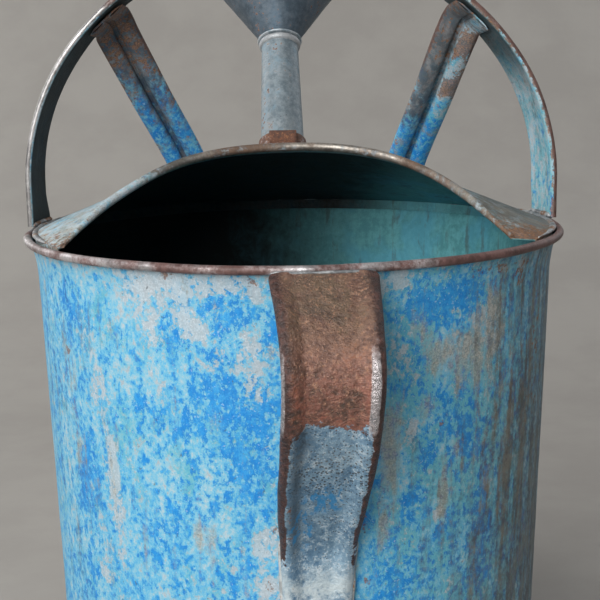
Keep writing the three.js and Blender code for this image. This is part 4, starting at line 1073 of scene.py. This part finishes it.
def build_band():
    def rr(s):
        return float(spout_r(s))

    pr = [[rr(264) + 0.45, 264], [rr(264) + 1.35, 264], [rr(278) + 1.35, 278], [rr(278) + 0.45, 278]]
    pr = resample(soften(pr, 0.35), 2)
    pts, q = turned(pr, 96, place=lambda r, a, h: on_spout(r, a, h))
    make("spout_band_visual", pts, q, node="spout_band", mat=M_BAND)
    # strip back to the rim
    end = SPOUT0 + 271 * AX
    up = np.array([0, -AX[2], AX[1]])
    path = spaced(
        [
            [0, 104, hood_z(0, 104) + 0.75], [0, 110.5, 271.6], [0, 117, 273.6], [0, 165, 283.5],
            end + up * (rr(264) + 5.5) + (0, -9, -6.5), end + up * (rr(264) + 2.0) - 2.5 * AX, end + up * (rr(264) + 1.75) + 6.0 * AX,
        ],
        90,
    )
    tan = unit(np.gradient(path, axis=0))
    n = np.stack([0 * tan[:, 0], -tan[:, 2], tan[:, 1]], -1)
    base = [np.array(q, float) for q in ([-8, 0], [8, 0], [8, 1.2], [-8, 1.2])]
    sec = []
    for i, b in enumerate(base):
        a, c = base[i - 1], base[(i + 1) % 4]
        p0, p1 = b + unit(a - b) * 0.4, b + unit(c - b) * 0.4
        for t in (0, 0.5, 1):
            sec.append((1 - t) ** 2 * p0 + 2 * t * (1 - t) * b + t * t * p1)
    sec = resample(sec, 1.4)
    rings = path[:, None] + sec[None, :, :1] * np.array([1.0, 0, 0]) + sec[None, :, 1:] * n[:, None]
    rings = rings + (0.22 * fbm(rings, 30, 2) * smooth(8, 20, np.arange(90))[:, None] * (1 - smooth(70, 82, np.arange(90)))[:, None])[..., None] * n[:, None]
    g, q, caps = tube_rings(rings)
    make("spout_stay_visual", g, q, caps, node="spout_stay", mat=M_RUST, sharp=40)


build_band()


# ---- soldered joints ----------------------------------------------------------------------------------------------------
def blob(name, at, size, tilt, mat, seed=0.0, rough=0.35):
    """A flattened lump of solder, size along x, y, z of its own frame; tilt is a 3x3 of its axes."""
    n, m = 40, 24
    th, ph = np.linspace(0, 2 * math.pi, n, endpoint=False), np.linspace(0.02, math.pi - 0.02, m)
    t, f = np.meshgrid(th, ph, indexing="ij")
    d = np.stack([np.cos(t) * np.sin(f), np.sin(t) * np.sin(f), np.cos(f)], -1)
    r = 1 + rough * fbm(d * 3 + seed, 1.6, 3)
    q = d * r[..., None] * np.asarray(size, float)
    pts = np.asarray(at, float) + q @ np.asarray(tilt, float)
    caps = [np.arange(n) * m, (np.arange(n) * m + m - 1)[::-1]]
    make(name, pts, quads_of(n, m, True, False), [caps[0][::-1], caps[1][::-1]], mat=mat)


def frame_at(ang):
    """Axes at an angle round the can, counted from the back: tangent, outwards, up."""
    return np.array([[math.cos(ang), math.sin(ang), 0], [math.sin(ang), -math.cos(ang), 0], [0, 0, 1.0]])


def build_joints():
    # hood to rim, round the front
    t = np.linspace(-0.985, 0.985, 420)
    r = rim_point(t)
    out = unit(r * (1, 1, 0))
    fillet("hood_rim_solder", r - out * 0.4 + (0, 0, 0.35), 1.0, False, 1.25, 50.0)
    # feet of the hoop
    for k, sx in enumerate((-1, 1)):
        ang = math.atan2(sx * math.sqrt(HOOP_A**2 - HOOP_Y**2), -HOOP_Y)
        f = frame_at(ang)
        y = HOOP_Y + np.linspace(-11.5, 11.5, 40)
        x = sx * (np.sqrt(HOOP_A**2 - y**2) - 2.9)
        fillet("hoop_foot_in_%d" % k, np.stack([x, y, 0 * y + 270.9], -1), 1.25, False, 1.0, 80.0 + 9 * k)
    # feet of the stays
    for k, (side, x0) in enumerate(((-1, 48.5), (1, 56.5))):
        px, py = side * (x0 - 6.3), 94.2 - (x0 - 48) * 0.3
        up = unit([-(hood_z(px + 4, py) - hood_z(px - 4, py)) / 8, -(hood_z(px, py + 4) - hood_z(px, py - 4)) / 8, 1.0])
        t = frame_at(math.atan2(px, -py))[0]
        t = unit(t - (t @ up) * up)
        blob("stay_foot_%d" % k, np.array([px, py, hood_z(px, py)]) + up * 1.35, (11.0, 6.0, 1.25), np.array([t, np.cross(up, t), up]), M_SOLDER, 31.0 * k, 0.25)
    # the strap's top edge under the rim bead
    p, n, s, width, turn, curl = handle_frames(60)
    u = np.linspace(-18.6, 18.6, 60)
    fillet("handle_top_solder", on_handle(p[0], n[0], turn[0], u, 0.55 + 0 * u), 0.75, False, 1.0, 120.0)
    # chalky run round the strap's foot
    path = []
    for i in range(47, 59):
        path.append(on_handle(p[i], n[i], turn[i], np.array([-width[i] / 2 + 0.2]), np.array([-0.2]))[0])
    i = 59
    for q in np.linspace(-width[i] / 2 + 0.2, width[i] / 2 - 0.2, 26):
        path.append(on_handle(p[i], n[i], turn[i], np.array([q]), np.array([-0.2]))[0])
    for i in range(58, 46, -1):
        path.append(on_handle(p[i], n[i], turn[i], np.array([width[i] / 2 - 0.2]), np.array([-0.2]))[0])
    path = spaced(path, 160)
    fillet("handle_foot_crust", path, 1.15, False, 1.0, 150.0, M_CRUST)


build_joints()


# ---- rose ------------------------------------------------------------------------------------------------------------------------
def build_rose():
    def place(r, a, h):
        return on_spout(r, a, h)

    pr = [
        [9.3, T - 20], [10, T - 20], [10, T + 1.3], [13.4, T + 1.4], [13.8, T + 2.0], [13.4, T + 2.6],
        [10, T + 2.7], [10, T + 7], [9.3, T + 7],
    ]
    pts, q = turned(resample(soften(pr, 0.25), 3), 96, place)
    z = dict(bead=0.9, rus=0.0, cob=0.0, pale=0.0)
    make("rose_spigot_visual", pts, q, attrs={k: np.full(pts.shape[:2], v) for k, v in z.items()}, node="rose_spigot", body="rose", mat=M_ZINC)
    pr = [
        [10.5, T + 3], [11.4, T + 3], [47, T + 58], [47.9, T + 59.2], [47.9, T + 64], [46.8, T + 64.8],
        [45, T + 64.4], [45, T + 63.7], [47.2, T + 63.7], [47.2, T + 59.5], [46.5, T + 58.6], [10.5, T + 3.9],
    ]

    def wob(p, r, a, h):
        rad = unit(p - SPOUT0 - ((p - SPOUT0) @ AX)[..., None] * AX)
        k = smooth(T + 12, T + 24, h) * (1 - smooth(T + 46, T + 56, h))
        seam = 0.5 * np.exp(-((((a - 4.2 + math.pi) % (2 * math.pi) - math.pi) * r / 1.5) ** 2))
        return p + (k * (0.4 * fbm(p, 34, 2) + seam))[..., None] * rad

    pts, q = turned(resample(soften(pr, 0.4), 2.2), 160, place, wob=wob)
    h = (pts - SPOUT0) @ AX
    at = dict(bead=0.7 * smooth(T + 58, T + 60, h), rus=0.3 + 0.6 * smooth(T + 57, T + 61, h) + 0.1 * smooth(T + 9, T + 4, h), cob=0.2 + 0 * h, pale=0 * h)
    make("rose_cone_visual", pts, q, attrs=at, node="rose_cone", body="rose", mat=M_ROSE, sharp=40)

    def dome(r):
        return T + 62.6 + 5.5 * (1 - (r / 43.5) ** 2)

    outer = [[r, dome(r) + SHEET] for r in np.linspace(43.5, 0, 18)]
    inner = [[r, dome(r)] for r in np.linspace(0, 43.5, 18)]
    pr = [[46.5, T + 62.6], [46.5, T + 63.3], *outer, *inner]
    pts, q = turned(pr, 128, place)
    h = (pts - SPOUT0) @ AX
    at = dict(bead=0.3 + 0 * h, rus=0.55 + 0 * h, cob=0.0 * h, pale=0 * h)
    face = make("rose_face_visual", pts, q, attrs=at, node="rose_face", body="rose", mat=M_ROSE, weld=True, sharp=40)
    pins, quads, caps, base = [], [], [], 0
    for count, rad in [(1, 0), (6, 10), (12, 19), (18, 28)]:
        for i in range(count):
            a = 2 * math.pi * (i + (rad / 9.5) * 0.5) / count
            b = np.linspace(0, 2 * math.pi, 14, endpoint=False)
            ring = []
            for hh in (T + 45, T + 80):
                x, y = rad * math.cos(a) + np.cos(b), rad * math.sin(a) + np.sin(b)
                ring.append(SPOUT0 + hh * AX + x[:, None] * AXX + y[:, None] * AY)
            pins.append(np.array(ring).reshape(-1, 3))
            quads.append(quads_of(2, 14, False, True) + base)
            caps += [np.arange(14) + base, (np.arange(14, 28) + base)[::-1]]
            base += 28
    tool = make("pins", np.vstack(pins), np.vstack(quads), caps, body=None)
    cut(face, tool)
    shade(face, 40)


build_rose()

# ---- what is kept from the CAD: the two wires inside the rolled edges ------------------------------------------------------
for name in ("rim_wire", "hood_edge_wire"):
    o = bpy.data.objects.get(name)
    if o is not None:
        o.data.materials.clear()
        o.data.materials.append(M_RUST)

# ---- floor, light, camera ------------------------------------------------------------------------------------------------------
def backdrop():
    s = Shader("pale_sweep")
    n = s.noise(9, 5, 0.6)
    c = s.mix(s.step(n, 0.35, 0.65), (0.325, 0.310, 0.290), (0.355, 0.340, 0.318))
    mat = s.done(c, 0.9, 0.0, s.bump(s.noise(240, 4, 0.6), 0.0002, 0.3))
    # far out the sweep glows as softly as the studio around it, so its ends do not show from any side
    r = s.node("ShaderNodeVectorMath", {0: s.scaled(1, 1, 0)}, 1, operation="LENGTH")
    s.put(s.b.inputs["Emission Color"], (0.756, 0.792, 0.856))
    s.put(s.b.inputs["Emission Strength"], s.math("MULTIPLY", s.step(r, 1.75, 3.2), 0.14))
    w, rad, back = 45.0, 1.0, 1.6
    pr = [[-45.0, 0.0], [back - rad, 0.0]]
    for a in np.linspace(0, 90, 25)[1:] * RAD:
        pr.append([back - rad + rad * math.sin(a), rad - rad * math.cos(a)])
    pr.append([back, 9.0])
    pr = np.array(pr)
    xs = np.linspace(-w, w, 3)
    v = [(x, y, z) for y, z in pr for x in xs]
    f = quads_of(len(pr), 3, False, False)[:, ::-1].tolist()
    me = bpy.data.meshes.new("sweep")
    me.from_pydata(v, [], f)
    me.polygons.foreach_set("use_smooth", np.ones(len(me.polygons), bool))
    me.materials.append(mat)
    o = bpy.data.objects.new("sweep", me)
    bpy.context.scene.collection.objects.link(o)


backdrop()


def area(name, loc, target, size, power, color):
    d = bpy.data.lights.new(name, "AREA")
    d.shape, d.size, d.energy, d.color = "DISK", size, power, color
    o = bpy.data.objects.new(name, d)
    o.location = loc
    o.rotation_mode = "QUATERNION"
    o.rotation_quaternion = (Vector(target) - Vector(loc)).to_track_quat("-Z", "Y")
    bpy.context.scene.collection.objects.link(o)


aim = (0, -0.1, 0.22)
area("key", (-0.90, -1.63, 1.30), aim, 2.0, 63, (1.0, 0.985, 0.96))
area("left_front", (-1.5, 1.1, 1.0), aim, 1.2, 11, (1.0, 0.99, 0.98))
area("right_front", (1.3, 1.25, 1.0), aim, 1.4, 6.4, (0.95, 0.97, 1.0))
area("wall_wash", (0.0, 0.75, 2.3), (0, 1.9, 0.5), 1.4, 2.5, (1.0, 0.985, 0.965))

scene = bpy.context.scene
world = bpy.data.worlds.new("studio")
scene.world = world
world.use_nodes = True
bg = world.node_tree.nodes["Background"]
bg.inputs[0].default_value = (0.80, 0.82, 0.86, 1)
bg.inputs[1].default_value = 0.20

scene.view_settings.view_transform = "Standard"
scene.view_settings.look = "None"
scene.view_settings.exposure = 0.0

cam_data = bpy.data.cameras.new("camera")
cam = bpy.data.objects.new("camera", cam_data)
scene.collection.objects.link(cam)
yaw, pitch, roll = 1.6 * RAD, 10.2 * RAD, -0.84 * RAD
fwd = Vector((math.sin(yaw) * math.cos(pitch), math.cos(yaw) * math.cos(pitch), -math.sin(pitch)))
right = Vector((math.cos(yaw), -math.sin(yaw), 0))
up = right.cross(fwd)
cr = right * math.cos(roll) + up * math.sin(roll)
cu = up * math.cos(roll) - right * math.sin(roll)
m = Matrix((cr, cu, -fwd)).transposed().to_4x4()
m.translation = Vector((-0.01466, -0.7088, 0.3454))
cam.matrix_world = m
cam_data.lens, cam_data.sensor_width, cam_data.sensor_fit = 84.72, 36.0, "HORIZONTAL"
cam_data.clip_start, cam_data.clip_end = 0.01, 50
scene.camera = cam
